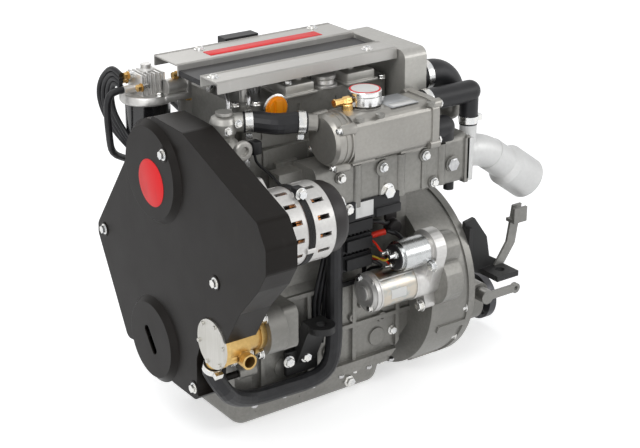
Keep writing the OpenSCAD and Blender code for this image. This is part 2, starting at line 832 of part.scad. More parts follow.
module oil_pan() color("gray") engine() difference() {
    union() {
        at(pan_x, -flange_half, pan_z - pan_lip) linear_extrude(height = pan_lip)
            rounded(pan_l, 2 * flange_half, cover_corner_r);
        hull() for (x = [pan_x + pan_corner_r + pan_inset, pan_x + pan_l - pan_corner_r - pan_inset], s = [-1, 1]) {
            at(x, s * (case_half - pan_corner_r), pan_z - pan_lip) cylinder(r = pan_corner_r, h = over, $fn = 32);
            at(x, s * (case_half - 1.35 * pan_corner_r), pan_bottom_z + pan_corner_r) sphere(r = pan_corner_r, $fn = 32);
        }
        for (s = [0.14, 0.42, 0.7]) for (m = [0, 1]) mirror([0, m, 0])
            at(pan_x + s * pan_l, -case_half + rib_t * 0.8, pan_bottom_z + pan_corner_r)
                cube([rib_t * 2, rib_t, pan_depth - pan_corner_r - pan_lip + over]);
    }
    at(0, 0, -over) hull() for (x = [pan_x + pan_corner_r + pan_inset, pan_x + pan_l - pan_corner_r - pan_inset], s = [-1, 1]) {
        at(x, s * (case_half - pan_corner_r), pan_z + over) cylinder(r = pan_corner_r - pan_wall, h = 2 * over, $fn = 32);
        at(x, s * (case_half - 1.35 * pan_corner_r), pan_bottom_z + pan_corner_r + over) sphere(r = pan_corner_r - pan_wall, $fn = 32);
    }
}

// Timing case: a back plate and a hollow cover
module case_outline() {
    for (p = [[cam_at, cam_teeth], [fuel_pump_at, fuel_pump_teeth], [water_idler_at, water_idler_teeth],
        [sea_pump_at, sea_pump_teeth], [idler_at, idler_teeth]])
        disc_at(p[0], outer_r(p[1]) + case_clear + case_wall);
    polygon([[-flange_half, pan_z], [flange_half, pan_z], [flange_half, 0], [cam_side, cam_z],
        [cam_y, deck_z * 0.86], [-upper_half, deck_z * 0.86], [-flange_half, 0]]);
    link(cam_at, cover_bolt_at(case_bolts[0]), cover_post_r + case_clear);
    link(crank_at, cover_bolt_at(case_bolts[1]), cover_post_r + case_clear);
}
module case_room() {
    for (p = [[cam_at, cam_teeth], [fuel_pump_at, fuel_pump_teeth], [water_idler_at, water_idler_teeth],
        [sea_pump_at, sea_pump_teeth], [idler_at, idler_teeth], [crank_at, crank_teeth]])
        disc_at(p[0], outer_r(p[1]) + case_clear);
}
module timing_case() color("dimgray") engine() {
    at(case_x, 0, 0) difference() {
        across(case_depth - back_plate_t) case_outline();
        at(case_wall, 0, 0) across(case_depth) case_room();
        at(-over, 0, 0) xcyl(snout_r + 1, case_wall + 2 * over);
        at(-over, sea_pump_y, sea_pump_z) xcyl(sea_shaft_r + run, case_wall + 2 * over);
        for (p = [[0.3, 0.2], [-0.4, 0.45]])
            at(-over, p[0] * flange_half, pan_z * p[1]) xcyl(core_plug_r, over + case_wall / 3);
    }
    at(block_x, sea_pump_y - 30, sea_pump_z - 38) across(lobe_l) rounded(70, 76, cover_corner_r);
    at(case_x + case_depth - back_plate_t, 0, 0) across(back_plate_t) difference() {
        case_outline();
        circle(main_journal_r + 1);
        disc_at(cam_at, cam_hub_r + 1);
        disc_at(fuel_pump_at, fuel_shaft_r + run);
        for (p = [idler_at, water_idler_at]) disc_at(p, idler_pin_r + skin_gap);
    }
}
function cover_bolt_at(i) = [cover_bolt_places[i][0] * cover_w, cover_bolt_places[i][1] * cover_h];

module casting_bolts() color("silver") engine() {
    for (s = [0.1, 0.4, 0.75, 0.93]) at(pan_x + s * pan_l, -flange_half + small_bolt_r, 0)
        at(0, 0, pan_z - pan_lip) mirror([0, 0, 1]) cylinder(r = small_bolt_r, h = small_bolt_r);
    at(block_x + 0.09 * block_l, -upper_half, deck_z + head_h * 0.28) bolt_near(small_bolt_r);
    for (p = [[-0.92, -0.75], [0.92, -0.75], [0.92, -0.15]])
        at(case_x, p[0] * flange_half, -p[1] * pan_z) bolt_front(small_bolt_r);
    for (p = [[-0.72, 1.75], [0.2, 1.8]])
        at(case_x, p[0] * flange_half, -p[1] * pan_z * 0.95) bolt_front(small_bolt_r);
    at(case_x, water_idler_at[0], water_idler_at[1]) rotate([case_bolt_angle, 0, 0])
        at(0, outer_r(water_idler_teeth) + case_clear + case_wall / 3 - small_bolt_r, 0) bolt_front(small_bolt_r);
    for (s = [0.24, 0.52]) at(manifold_x + s * manifold_l, -upper_half - manifold_out, manifold_bottom_z + 20)
        bolt_near(large_bolt_r);
    for (i = [0 : 3]) at(i == bulge_bolt ? -cover_bulge : 0, cover_bolt_at(i)[0], cover_bolt_at(i)[1])
        bolt_front(cover_bolt_r);
    for (p = bracket_feet) at(case_x - bracket_t, p[0], p[1]) bolt_front(small_bolt_r);
}

// Crank, rods and pistons
module crank_web() {
    circle(crank_web_r);
    translate([0, crank_r]) circle(crank_web_half);
    translate([-crank_web_half, 0]) square([2 * crank_web_half, crank_r]);
    intersection() {
        circle(counterweight_r);
        translate([-counterweight_half, -counterweight_r]) square([2 * counterweight_half, counterweight_r - crank_web_r / 3]);
    }
}
module crankshaft() color("lightslategray") engine() {
    for (i = [0 : cylinders]) at(bulkhead_x(i) - bulkhead_t / 2, 0, 0) xcyl(main_journal_r, bulkhead_t);
    for (i = [0 : cylinders - 1]) at(cylinder_x(i), 0, 0) rotate([throws[i], 0, 0]) {
        for (s = [-bay_l / 2 + gap, pin_l / 2]) at(s, 0, 0) across(bay_l / 2 - gap - pin_l / 2) crank_web();
        at(-pin_l / 2 - over, 0, crank_r) xcyl(crank_pin_r, pin_l + 2 * over);
        at(-bay_l / 2 - over, 0, 0) xcyl(crank_web_r / 2, over + 2 * gap);
        at(bay_l / 2 - 2 * gap, 0, 0) xcyl(crank_web_r / 2, over + 2 * gap);
    }
    at(belt_x + 2 * over, 0, 0) xcyl(snout_r, bulkhead_x(0) - belt_x - 2 * over);
    at(gear_x + gear_w, 0, 0) xcyl(main_journal_r - gap, bulkhead_x(0) - gear_x - gear_w);
    at(bulkhead_x(cylinders), 0, 0) xcyl(main_journal_r, crank_flange_x - bulkhead_x(cylinders));
    at(crank_flange_x, 0, 0) xcyl(crank_flange_r, flywheel_x - crank_flange_x);
    at(gear_x, 0, 0) gear(crank_teeth, 0, 0, gear_w);
}
module rod_big_ends() color("slategray") engine()
    for (i = [0 : cylinders - 1]) at(cylinder_x(i) - rod_w / 2, 0, 0) rotate([throws[i], 0, 0])
        at(0, 0, crank_r) difference() {
            xcyl(big_end_r, rod_w);
            at(-over, 0, 0) xcyl(crank_pin_r + run, rod_w + 2 * over);
        }
function pin_y(i) = -crank_r * sin(throws[i]);
function pin_z(i) = crank_r * cos(throws[i]);
function wrist_z(i) = pin_z(i) + sqrt(rod_length * rod_length - pin_y(i) * pin_y(i));
function rod_tilt(i) = asin(pin_y(i) / rod_length);
module pistons_and_rods() color("silver") engine() for (i = [0 : cylinders - 1]) {
    at(cylinder_x(i), 0, wrist_z(i)) difference() {
        at(0, 0, -piston_skirt) cylinder(r = bore / 2 - piston_gap, h = piston_skirt + piston_crown_h);
        at(0, 0, -piston_skirt - over) cylinder(r = bore / 2 - piston_wall, h = piston_skirt + piston_crown_h - piston_wall);
        at(-bore / 2, 0, 0) xcyl(wrist_pin_r + run, bore);
        for (k = [1 : 3]) at(0, 0, piston_crown_h - k * piston_wall) difference() {
            cylinder(r = bore / 2 + over, h = piston_wall / 4);
            at(0, 0, -over) cylinder(r = bore / 2 - piston_wall / 3, h = piston_wall + over);
        }
    }
    at(cylinder_x(i) - bore / 2 + piston_wall / 2, 0, wrist_z(i)) xcyl(wrist_pin_r, bore - piston_wall);
    difference() {
        at(cylinder_x(i) - rod_w / 2, 0, wrist_z(i)) rotate([rod_tilt(i), 0, 0]) union() {
            xcyl(wrist_boss_r, rod_w);
            at(rod_w / 4, -rod_shank_w / 2, -rod_length) cube([rod_w / 2, rod_shank_w, rod_length]);
        }
        at(cylinder_x(i) - rod_w, 0, 0) xcyl(sweep_r + gap, 2 * rod_w);
        at(cylinder_x(i) - rod_w, -bay_r, -2 * bay_r) cube([2 * rod_w, 2 * bay_r, 2 * bay_r]);
        at(cylinder_x(i) - rod_w, 0, wrist_z(i)) xcyl(wrist_pin_r + run, 2 * rod_w);
    }
}
module camshaft() color("darkslategray") engine() at(0, cam_y, cam_z) {
    at(gear_x, 0, 0) gear(cam_teeth, cam_hub_r / 2, cam_turn, gear_w);
    at(gear_x, 0, 0) xcyl(cam_hub_r - gap, block_end_x - gear_x - 2 * gap);
    for (i = [0 : cylinders]) at(max(bulkhead_x(i) - bulkhead_t / 2, block_x), 0, 0) xcyl(cam_journal_r, bulkhead_t);
    for (i = [0 : cylinders - 1], s = [-1, 1])
        at(cylinder_x(i) + s * valve_offset - rod_w / 4, 0, 0) rotate([throws[i] / 2 + 45 * s + 135, 0, 0])
            at(0, 0, cam_lobe_out) xcyl(cam_hub_r, rod_w / 2);
}
module valve_gear() color("silver") engine() for (i = [0 : cylinders - 1], s = [-1, 1])
    at(cylinder_x(i) + s * valve_offset, 0, 0) {
        at(0, cam_y, cam_z) rotate([pushrod_tilt, 0, 0]) at(0, 0, cam_journal_r + gap) {
            cylinder(r = tappet_r, h = tappet_l);
            cylinder(r = valve_stem_r, h = pushrod_rise / cos(pushrod_tilt) - cam_journal_r - gap + over);
        }
        at(0, 0, deck_z) cylinder(r = valve_r, h = valve_head_t - over);
        at(0, 0, deck_z) cylinder(r = valve_stem_r, h = head_h + spring_l);
        at(0, 0, head_z) difference() {
            cylinder(r = spring_r, h = spring_l - over);
            at(0, 0, -over) cylinder(r = spring_r - 3, h = spring_l + over);
        }
        at(0, 0, head_z + spring_l - over) cylinder(r = spring_r, h = over);
        at(-rocker_w / 2, -rocker_w / 2, head_z + spring_l) cube([rocker_w, pushrod_top_y + rocker_w, rocker_h]);
        at(-rocker_w / 2 - stand_t, pushrod_top_y / 2 - rocker_shaft_r, head_z)
            cube([stand_t, 2 * rocker_shaft_r, spring_l + rocker_h]);
        at(-rocker_w / 2 - stand_t, pushrod_top_y / 2, head_z + spring_l + rocker_h / 2)
            xcyl(rocker_h / 3, rocker_w + 2 * stand_t);
    }
rail_tube_l = max(intake_l - 24, cylinder_x(cylinders - 1) + rail_tube_r - intake_x - 12);
module fuel_rail() color("silver") engine() {
    at(intake_x + 12, rail_tube_y, rail_tube_z) xcyl(rail_tube_r, rail_tube_l);
    for (s = [0.2, 0.8]) at(intake_x + s * intake_l, rail_tube_y - rail_tube_r / 2, deck_z + intake_h + 12)
        cube([rail_tube_r, rail_tube_r, rail_tube_z - deck_z - intake_h - 12 - rail_tube_r * 0.6]);
    for (i = [0 : cylinders - 1]) {
        at(cylinder_x(i), injector_y, deck_z + 10) cylinder(r = injector_r, h = rocker_z + injector_top - deck_z - 10);
        hose([[cylinder_x(i), rail_tube_y, rail_tube_z + rail_tube_r - over], [cylinder_x(i), rail_tube_y, rail_tube_z + 3 * rail_tube_r],
            [cylinder_x(i), rail_tube_y - rail_tube_r, rocker_z + 2 * rail_tube_r - 2], [cylinder_x(i), 0, rocker_z + 2 * rail_tube_r + 2],
            [cylinder_x(i), injector_y, rocker_z + injector_top - over]], rail_pipe_r, 5);
    }
}
module idler_gear() color("lightsteelblue") engine() at(gear_x, idler_at[0], idler_at[1])
    gear(idler_teeth, idler_pin_r + run, idler_turn, gear_w);
module water_idler_gear() color("lightsteelblue") engine() at(gear_x, water_idler_at[0], water_idler_at[1])
    gear(water_idler_teeth, idler_pin_r + run, water_idler_turn, gear_w);
module fuel_pump() color("silver") engine() at(block_x, fuel_pump_at[0], fuel_pump_at[1]) difference() {
    union() {
        xcyl(fuel_pump_r + 6, 10);
        xcyl(fuel_pump_r, fuel_pump_l);
        at(fuel_pump_l * 0.45, -18, 0) cube([36, 36, fuel_pump_r + 22]);
        at(fuel_pump_l, 0, 0) xcyl(fuel_pump_r * 0.6, 14);
    }
    at(-over, 0, 0) xcyl(fuel_shaft_r + run, fuel_pump_l * 0.7 + over);
}
module fuel_pump_gear() color("lightsteelblue") engine() at(0, fuel_pump_at[0], fuel_pump_at[1]) {
    at(gear_x, 0, 0) gear(fuel_pump_teeth, 0, fuel_pump_turn, gear_w);
    at(gear_x, 0, 0) xcyl(fuel_shaft_r, block_x + fuel_pump_l * 0.6 - gear_x);
}

// Belt drive
function groove_profile(r, w) = [
    for (k = [0 : groove_n - 1]) each
        [[r, w * (k + 0.1) / groove_n], [r - groove_depth, w * (k + 0.5) / groove_n], [r, w * (k + 0.9) / groove_n]]
];
module pulley(r, hub_r, hub_l, hole_r) rotate([0, 90, 0]) difference() {
    rotate_extrude() polygon(concat([[hole_r, 0], [hub_r, 0], [hub_r, belt_w * 0.35], [r - 12, belt_w * 0.35],
        [r - 12, 0], [r, 0]], groove_profile(r, belt_w), [[r, belt_w], [r - 12, belt_w], [r - 12, belt_w * 0.65],
        [hub_r, belt_w * 0.65], [hub_r, hub_l], [hole_r, hub_l]]));
    for (a = [0 : 60 : 300]) rotate(a) translate([(r - 12 + hub_r) / 2, 0, -over]) cylinder(r = (r - 12 - hub_r) / 4, h = 2 * belt_w);
}
module crank_pulley() color("dimgray") engine() {
    at(belt_x, 0, 0) pulley(crank_pulley_r, pulley_hub_r, case_x - belt_x - 2 * over, snout_r + run);
    at(belt_x + over, 0, 0) mirror([1, 0, 0]) {
        xcyl(pulley_washer_r, pulley_washer_t);
        at(pulley_washer_t, 0, 0) rotate([0, 90, 0]) cylinder(r = nut_r, h = nut_h, $fn = 6);
    }
}
module coolant_pump() color("gray") engine() at(0, coolant_pump_at[0], coolant_pump_at[1]) difference() {
    union() {
        at(pump_body_x + 12, 0, 0) xcyl(pump_body_r, block_x - pump_body_x - 12);
        at(pump_body_x, 0, 0) xcone(18, 30, 12);
        at(block_x - 30, -pump_body_r, -40) cube([30, 50, 40]);
    }
    at(pump_body_x - over, 0, 0) xcyl(shaft_r + run, block_x - pump_body_x);
    at(block_x - 26, 0, 0) xcyl(pump_body_r - 8, 26 + over);
}
module coolant_pump_pulley() color("dimgray") engine() at(0, coolant_pump_at[0], coolant_pump_at[1]) {
    at(belt_x, 0, 0) pulley(coolant_pulley_r, 20, belt_w, 0);
    at(belt_x - 6, 0, 0) xcyl(shaft_r, block_x - 4 - belt_x + 6);
    for (a = [0 : 60 : 300]) at(block_x - 22, 0, 0) rotate([a, 0, 0]) at(0, -2, 0) cube([18, 4, pump_body_r - 12]);
}
module belt_line(d) hull() {
    disc_at(crank_at, crank_pulley_r + d, $fn = 64);
    disc_at(coolant_pump_at, coolant_pulley_r + d, $fn = 64);
    disc_at(alternator_at, alternator_pulley_r + d, $fn = 64);
}
module drive_belt() color("black") engine() at(belt_x, 0, 0) across(belt_w) difference() {
    belt_line(belt_t + skin_gap);
    belt_line(skin_gap);
}
module cover_outline() difference() {
    union() {
        offset(r = cover_corner_r, $fn = corner_fn) offset(delta = -cover_corner_r)
            polygon([for (p = cover_outline_shares) [p[0] * cover_w, p[1] * cover_h]]);
        circle(crank_bulge_r + 1);
        disc_at(top_bulge_at, top_bulge_r + 1);
    }
    disc_at(sea_pump_at, notch_r);
    link(sea_pump_at, hose_notch_at[0], hose_notch_r);
    link(hose_notch_at[0], hose_notch_at[1], hose_notch_r);
}
module belt_cover() color([0.16, 0.15, 0.14]) engine() difference() {
    union() {
        across(cover_depth) cover_outline();
        for (b = [[crank_at, crank_bulge_r], [top_bulge_at, top_bulge_r]])
            at(0, b[0][0], b[0][1]) mirror([1, 0, 0]) xcone(b[1], b[1] - bulge_slope, cover_bulge);
        for (i = case_bolts) at(cover_wall, cover_bolt_at(i)[0], cover_bolt_at(i)[1])
            xcyl(cover_post_r, case_x - cover_wall);
    }
    at(cover_wall, 0, 0) across(cover_depth) difference() {
        offset(delta = -cover_wall) cover_outline();
        for (i = case_bolts) disc_at(cover_bolt_at(i), cover_post_r);
    }
    for (b = [[crank_at, crank_bulge_r], [top_bulge_at, top_bulge_r]])
        at(cover_wall + over, b[0][0], b[0][1]) mirror([1, 0, 0])
            xcone(b[1] - cover_wall, b[1] - bulge_slope - cover_wall, cover_bulge + over);
    at(-cover_bulge - over, 0, 0) across(cover_bulge + 2 * cover_wall) rotate(window_angle)
        translate([-window_l / 2, -window_w / 2]) rounded(window_l, window_w, window_w / 2 - gap);
}

// Alternator
module ring_slots(n, r, w, l, h) for (k = [0 : n - 1]) rotate([360 * k / n, 0, 0])
    at(-over, -w / 2, r) cube([h + 2 * over, w, l]);
module alternator_lug(x, p) at(x, 0, 0) across(lug_t) difference() {
    link(alternator_at + 0.75 * (p - alternator_at), p, lug_r);
    disc_at(alternator_at, alternator_r - alternator_wall / 2);
    disc_at(p, small_bolt_r);
}
module alternator_casting() difference() {
    xcyl(alternator_r, alternator_casting_l);
    at(alternator_wall, 0, 0) xcyl(alternator_r - alternator_wall, alternator_casting_l);
    at(-over, 0, 0) xcyl(shaft_r + skin_gap, 2 * alternator_wall);
    ring_slots(slot_n, alternator_r * 0.42, slot_w, slot_l, alternator_wall);
    for (k = [0 : slot_n - 1]) rotate([360 * (k + 0.5) / slot_n, 0, 0])
        at(alternator_wall * 1.8, -slot_w / 2, alternator_r * 0.8) cube([alternator_casting_l * 0.55, slot_w, alternator_r]);
}
module alternator_housing() color("silver") engine() {
    at(alternator_x, alternator_at[0], alternator_at[1]) alternator_casting();
    at(alternator_end_x, alternator_at[0], alternator_at[1]) mirror([1, 0, 0]) alternator_casting();
    alternator_lug(case_x, lug_low_at);
    alternator_lug(case_x, lug_high_at);
    at(alternator_end_x, alternator_at[0], alternator_at[1]) difference() {
        xcyl(alternator_cap_r, alternator_cap_l);
        at(-over, 0, 0) xcyl(alternator_cap_r - 3, alternator_cap_l - 2);
        ring_slots(slot_n, alternator_r * 0.3, slot_w / 2, slot_l / 2, alternator_cap_l);
    }
}
module alternator_windings() color("chocolate") engine() at(0, alternator_at[0], alternator_at[1]) {
    at(alternator_mid_x, 0, 0) difference() {
        xcyl(alternator_r, stator_w);
        at(-over, 0, 0) xcyl(alternator_r * stator_r_share, stator_w + 2 * over);
    }
    for (x = [alternator_mid_x - winding_l, alternator_mid_x + stator_w]) at(x, 0, 0) difference() {
        xcyl(alternator_r - alternator_wall - alternator_gap, winding_l);
        at(-over, 0, 0) xcyl(alternator_r * stator_r_share, winding_l + 2 * over);
        ring_slots(slot_n * 2, alternator_r * stator_r_share - over, 2, alternator_r, winding_l);
    }
}
module alternator_rotor() color("slategray") engine() at(0, alternator_at[0], alternator_at[1]) {
    at(belt_x, 0, 0) pulley(alternator_pulley_r, 14, belt_w + 10, 0);
    at(belt_x - 6, 0, 0) xcyl(shaft_r, alternator_end_x - belt_x + 20);
    at(belt_x - 6, 0, 0) mirror([1, 0, 0]) rotate([0, 90, 0]) cylinder(r = nut_r - 3, h = 8, $fn = 6);
    at(alternator_mid_x - winding_l, 0, 0) xcyl(alternator_r * rotor_r_share, stator_w + 2 * winding_l);
    for (x = [alternator_mid_x - winding_l - fan_t, alternator_mid_x + stator_w + winding_l]) at(x, 0, 0)
        for (a = [0 : 45 : 315]) rotate([a, 0, 0]) at(0, -2, 0) cube([fan_t, 4, alternator_r * rotor_r_share - over]);
}
module alternator_brackets() color("dimgray") engine() {
    at(case_x - bracket_t, 0, 0) across(bracket_t) difference() {
        union() {
            for (p = bracket_feet) link(lug_low_at, p, 12);
        }
        disc_at(lug_low_at, small_bolt_r);
    }
    at(case_x - strap_t, 0, 0) across(strap_t) difference() {
        link(lug_high_at, [-upper_half - 4, strap_z], 10);
        disc_at(lug_high_at, small_bolt_r);
    }
    at(case_x - strap_t, -upper_half - 8, strap_z - 11) cube([block_x + 15 - case_x + strap_t, 8, 22]);
}

// Sea water pump
module sea_stub(l) rotate([90, 0, 0]) {
    cylinder(r = stub_r - stub_step, h = l);
    at(0, 0, l - stub_tip_l) cylinder(r = stub_r, h = stub_tip_l);
}
module sea_stubs(bore) {
    at(sea_in_x, 0, -sea_in_drop) {
        if (bore) ycyl(stub_bore_r, sea_in_l + over);
        else sea_stub(sea_in_l);
    }
    at(sea_out_x, 0, 0) rotate([sea_out_angle, 0, 0]) {
        if (bore) ycyl(stub_bore_r, sea_out_l + over);
        else sea_stub(sea_out_l);
    }
}
module sea_pump_body() color("goldenrod") engine() at(0, sea_pump_y, sea_pump_z) difference() {
    union() {
        at(case_x - sea_flange_t, 0, 0) across(sea_flange_t)
            link([0, sea_flange_r - sea_ear_r], [0, sea_ear_r - sea_flange_r], sea_ear_r);
        at(case_x - sea_flange_t, 0, 0) xcyl(sea_neck_r + 4, sea_flange_t);
        at(over, 0, 0) xcyl(sea_neck_r, case_x - over);
        at(over, 0, 0) xcyl(sea_pump_r, sea_pump_l);
        at(over, 0, 0) xcyl(sea_plate_r, sea_plate_t * 2);
        for (s = [-1, 1]) at(sea_pump_l, -3, s > 0 ? 0 : -sea_neck_r - 8)
            cube([case_x - sea_pump_l, 6, sea_neck_r + 8]);
        sea_stubs(false);
    }
    at(0, 0, 0) xcyl(sea_chamber_r, sea_chamber_l + over);
    at(0, 0, 0) xcyl(sea_shaft_r + run, case_x + over);
    sea_stubs(true);
}
module sea_pump_cover() color("lightgray") engine() at(0, sea_pump_y, sea_pump_z) {
    at(over - sea_plate_t, 0, 0) xcyl(sea_plate_r, sea_plate_t);
    for (a = [20 : 60 : 320]) rotate([a, 0, 0]) at(over - sea_plate_t, 0, sea_plate_r - 5) mirror([1, 0, 0]) xcyl(3.2, 3);
}
module sea_pump_impeller() color("darkslategray") engine() at(0, sea_pump_y, sea_pump_z) {
    at(over + gap, 0, 0) xcyl(sea_shaft_r, gear_x + gear_w - over - gap);
    at(over + gap, 0, 0) xcyl(sea_shaft_r * 1.8, sea_chamber_l - 2 * gap);
    for (k = [0 : impeller_vanes - 1]) rotate([360 * k / impeller_vanes, 0, 0]) {
        at(over + gap, -vane_t / 2, 0) cube([sea_chamber_l - 2 * gap, vane_t, sea_chamber_r - vane_t / 2 - gap]);
        at(over + gap, 0, sea_chamber_r - vane_t / 2 - gap) xcyl(vane_t / 2, sea_chamber_l - 2 * gap);
    }
    at(gear_x, 0, 0) gear(sea_pump_teeth, 0, sea_pump_turn, gear_w);
}

// Cooling
module heat_exchanger() color("dimgray") engine() {
    at(exchanger_x, exchanger_y, exchanger_z) difference() {
        union() {
            at(exchanger_cap_l, -exchanger_r + 2, -exchanger_r + 2) across(exchanger_l - exchanger_cap_l - 6)
                rounded(2 * exchanger_r - 4, 2 * exchanger_r - 4, exchanger_corner_r);
            at(6, 0, 0) xcyl(exchanger_r, exchanger_cap_l - 6);
            xcone(exchanger_r - 5, exchanger_r, 6);
            at(exchanger_l - 20, -exchanger_r, -exchanger_r) across(14)
                rounded(2 * exchanger_r, 2 * exchanger_r, exchanger_corner_r);
            at(exchanger_l - 8, 0, 0) xcyl(exchanger_r - 8, 8);
            for (y = [-1, 1], z = [-1, 1]) at(exchanger_l - 22, y * (exchanger_r - 8), z * (exchanger_r - 8)) xcyl(8, 20);
            at(neck_x - exchanger_x, neck_y - exchanger_y, 0) cylinder(r = neck_r, h = neck_z - exchanger_z);
            at(neck_x - exchanger_x, neck_y - exchanger_y, 0) cylinder(r = neck_r + 8, h = exchanger_r * 0.97);
            for (s = [0.25, 0.72]) at(exchanger_l * s, -10, manifold_top_z - exchanger_z) cube([saddle_half, 60, 30]);
        }
        at(16, 0, 0) xcyl(exchanger_r - 7, exchanger_l - 32);
        at(neck_x - exchanger_x, neck_y - exchanger_y, 0) cylinder(r = neck_r - 4, h = neck_z - exchanger_z + over);
    }
    pipe_stub(hose_b, hose_b_dir, coolant_hose_r - 3, 16);
    at(exchanger_x + exchanger_l, tee_at[1], tee_at[2]) xcyl(tee_r - 3, tee_start_x - exchanger_x - exchanger_l);
    at(exchanger_x + exchanger_l, low_hose_at[1], low_hose_at[2]) xcyl(low_hose_r - pan_wall, low_stub_l);
}
module pipe_stub(p, d, r, l) translate(p) rotate([0, acos(unit(d)[2]), atan2(d[1], d[0])]) cylinder(r = r, h = l);
module pressure_cap() color("silver") engine() at(neck_x, neck_y, neck_z) {
    at(0, 0, run) cylinder(r = pressure_cap_r, h = cap_t);
    at(0, 0, cap_t) cylinder(r = pressure_cap_r * 0.6, h = 5);
    at(0, 0, cap_t) cylinder(r = 6, h = 8);
    at(0, 0, run - cap_rim_h / 2) difference() {
        union() {
            cylinder(r = pressure_cap_r, h = cap_rim_h / 2 + over);
            for (s = [-1, 1]) at(s * (pressure_cap_r - 1) - 5, -9, 0) cube([10, 18, cap_rim_h / 2 + over]);
        }
        at(0, 0, -over) cylinder(r = neck_r + 2, h = cap_rim_h);
    }
}
module coolant_elbow() color("silver") engine() difference() {
    union() {
        at(block_x - 26, thermo_y - 14, head_z - 32) cube([26, 34, 36]);
        at(thermo_x + 22, thermo_y, head_z - 20) cylinder(r = thermo_r - 4, h = thermo_h - 10);
        at(thermo_x + 22, thermo_y, head_z + 42) rotate_extrude() polygon([[0, 0], [18, 0], [21, 6], [21, 22], [18, 30], [10, 35], [0, 36]]);
        pipe_stub(hose_a - 36 * hose_a_dir, hose_a_dir, coolant_hose_r - 2, 35.5);
        at(thermo_x + 30, thermo_y - 28, head_z + 16) rotate([-60, 0, 0]) cylinder(r = 13, h = 24);
    }
    at(block_x - 20, thermo_y + 2, head_z - 14) xcyl(9, 20 + over);
}
module rubber_hoses() color([0.09, 0.09, 0.11]) engine() {
    intake_elbow();
    hose(concat([for (k = [0, 1, 2]) hose_a + k * hose_end_l * unit(hose_a_dir)],
        [(hose_a + hose_b) / 2 + [-2, -8, 0]],
        [for (k = [2, 1, 0]) hose_b - k * hose_end_l * unit(hose_b_dir)]), coolant_hose_r, 4);
    at(tee_start_x, tee_at[1], tee_at[2]) xcyl(tee_r, tee_at[0] - tee_start_x);
    at(tee_at[0], tee_at[1], tee_at[2]) sphere(r = tee_r, $fn = 32);
    at(tee_at[0], tee_at[1], tee_low_z) cylinder(r = tee_stem_r, h = tee_at[2] - tee_low_z);
    at(low_hose_x, low_hose_at[1], low_hose_at[2]) xcyl(low_hose_r, low_hose_at[0] - low_hose_x);
    translate(low_hose_at) sphere(r = low_hose_r, $fn = 32);
    at(low_hose_at[0], low_hose_at[1], manifold_top_z)
        cylinder(r = low_hose_r - over, h = low_hose_at[2] - manifold_top_z);
}
module sea_water_hose() color([0.09, 0.09, 0.11]) engine()
    hose(concat([for (k = [0, 1, 2]) sea_hose_start + (k * hose_end_l + run) * sea_hose_dir], sea_hose_path,
        [[271, -130, manifold_bottom_z - 24], [271, -130, manifold_bottom_z - 12], [271, -130, manifold_bottom_z - run]]), sea_hose_r, 3);
module clamp(p, d, r) pipe_at(p, d) {
    difference() {
        union() {
            cylinder(r = r + 1.5, h = 12);
            at(r + 1, -7, 1) cube([8, 14, 10]);
        }
        at(0, 0, -over) cylinder(r = r + 2 * skin_gap, h = 12 + 2 * over);
    }
}
module pipe_at(p, d) translate(p) rotate([0, acos(unit(d)[2]), atan2(d[1], d[0])]) children();
module hose_clamps() color("silver") engine() {
    clamp(hose_a + 3 * hose_a_dir, hose_a_dir, coolant_hose_r);
    clamp(hose_b - 15 * hose_b_dir, hose_b_dir, coolant_hose_r);
    clamp([tee_start_x + 4, tee_at[1], tee_at[2]], [1, 0, 0], tee_r);
    clamp([tee_at[0], tee_at[1], tee_low_z + 3], [0, 0, 1], tee_stem_r);
    clamp(sea_hose_start + sea_hose_dir, sea_hose_dir, sea_hose_r);
    clamp([intake_hose_x + 5, intake_hose_y, intake_hose_z], [1, 0, 0], intake_hose_r);
}

// Exhaust
module exhaust_manifold() color("dimgray") engine() difference() {
    union() {
        at(manifold_x + 44, -upper_half - 9, manifold_bottom_z) across(manifold_l - 44)
            mirror([1, 0]) rounded(manifold_out - 9, manifold_top_z - manifold_bottom_z, manifold_corner_r);
        at(manifold_x, -upper_half - 38, deck_z + 4) cube([60, 29, 46]);
        for (i = [0 : cylinders - 1]) at(cylinder_x(i) + valve_offset - 22, -upper_half - 9, deck_z + 2) cube([44, 9, 56]);
        at(manifold_x + manifold_l - 8, -upper_half - manifold_out - 3, elbow_z - elbow_flange_half + 4)
            cube([8, 2 * elbow_flange_half - 8, 2 * elbow_flange_half - 8]);
        for (p = manifold_boss_shares)
            at(manifold_x + p[0] * manifold_l, -upper_half - manifold_out + over, elbow_z + p[1] * elbow_flange_half)
                ycyl(manifold_boss_r, manifold_boss_h + over);
        for (s = [0.35, 0.6, 0.84]) at(manifold_x + s * manifold_l, -upper_half - manifold_out + 4, manifold_bottom_z + 6) cylinder(r = 9, h = manifold_top_z - manifold_bottom_z - 12);
    }
    at(manifold_x + 54, elbow_y, elbow_z) xcyl(elbow_r - elbow_wall, manifold_l);
    for (i = [0 : cylinders - 1]) at(cylinder_x(i) + valve_offset, -upper_half + over, deck_z + 28)
        ycyl(15, i == 0 ? 28 : 46);
    at(cylinder_x(0) + valve_offset, -upper_half - 22, deck_z + 28) rotate([0, 90, 0]) cylinder(r = 13, h = 40);
}
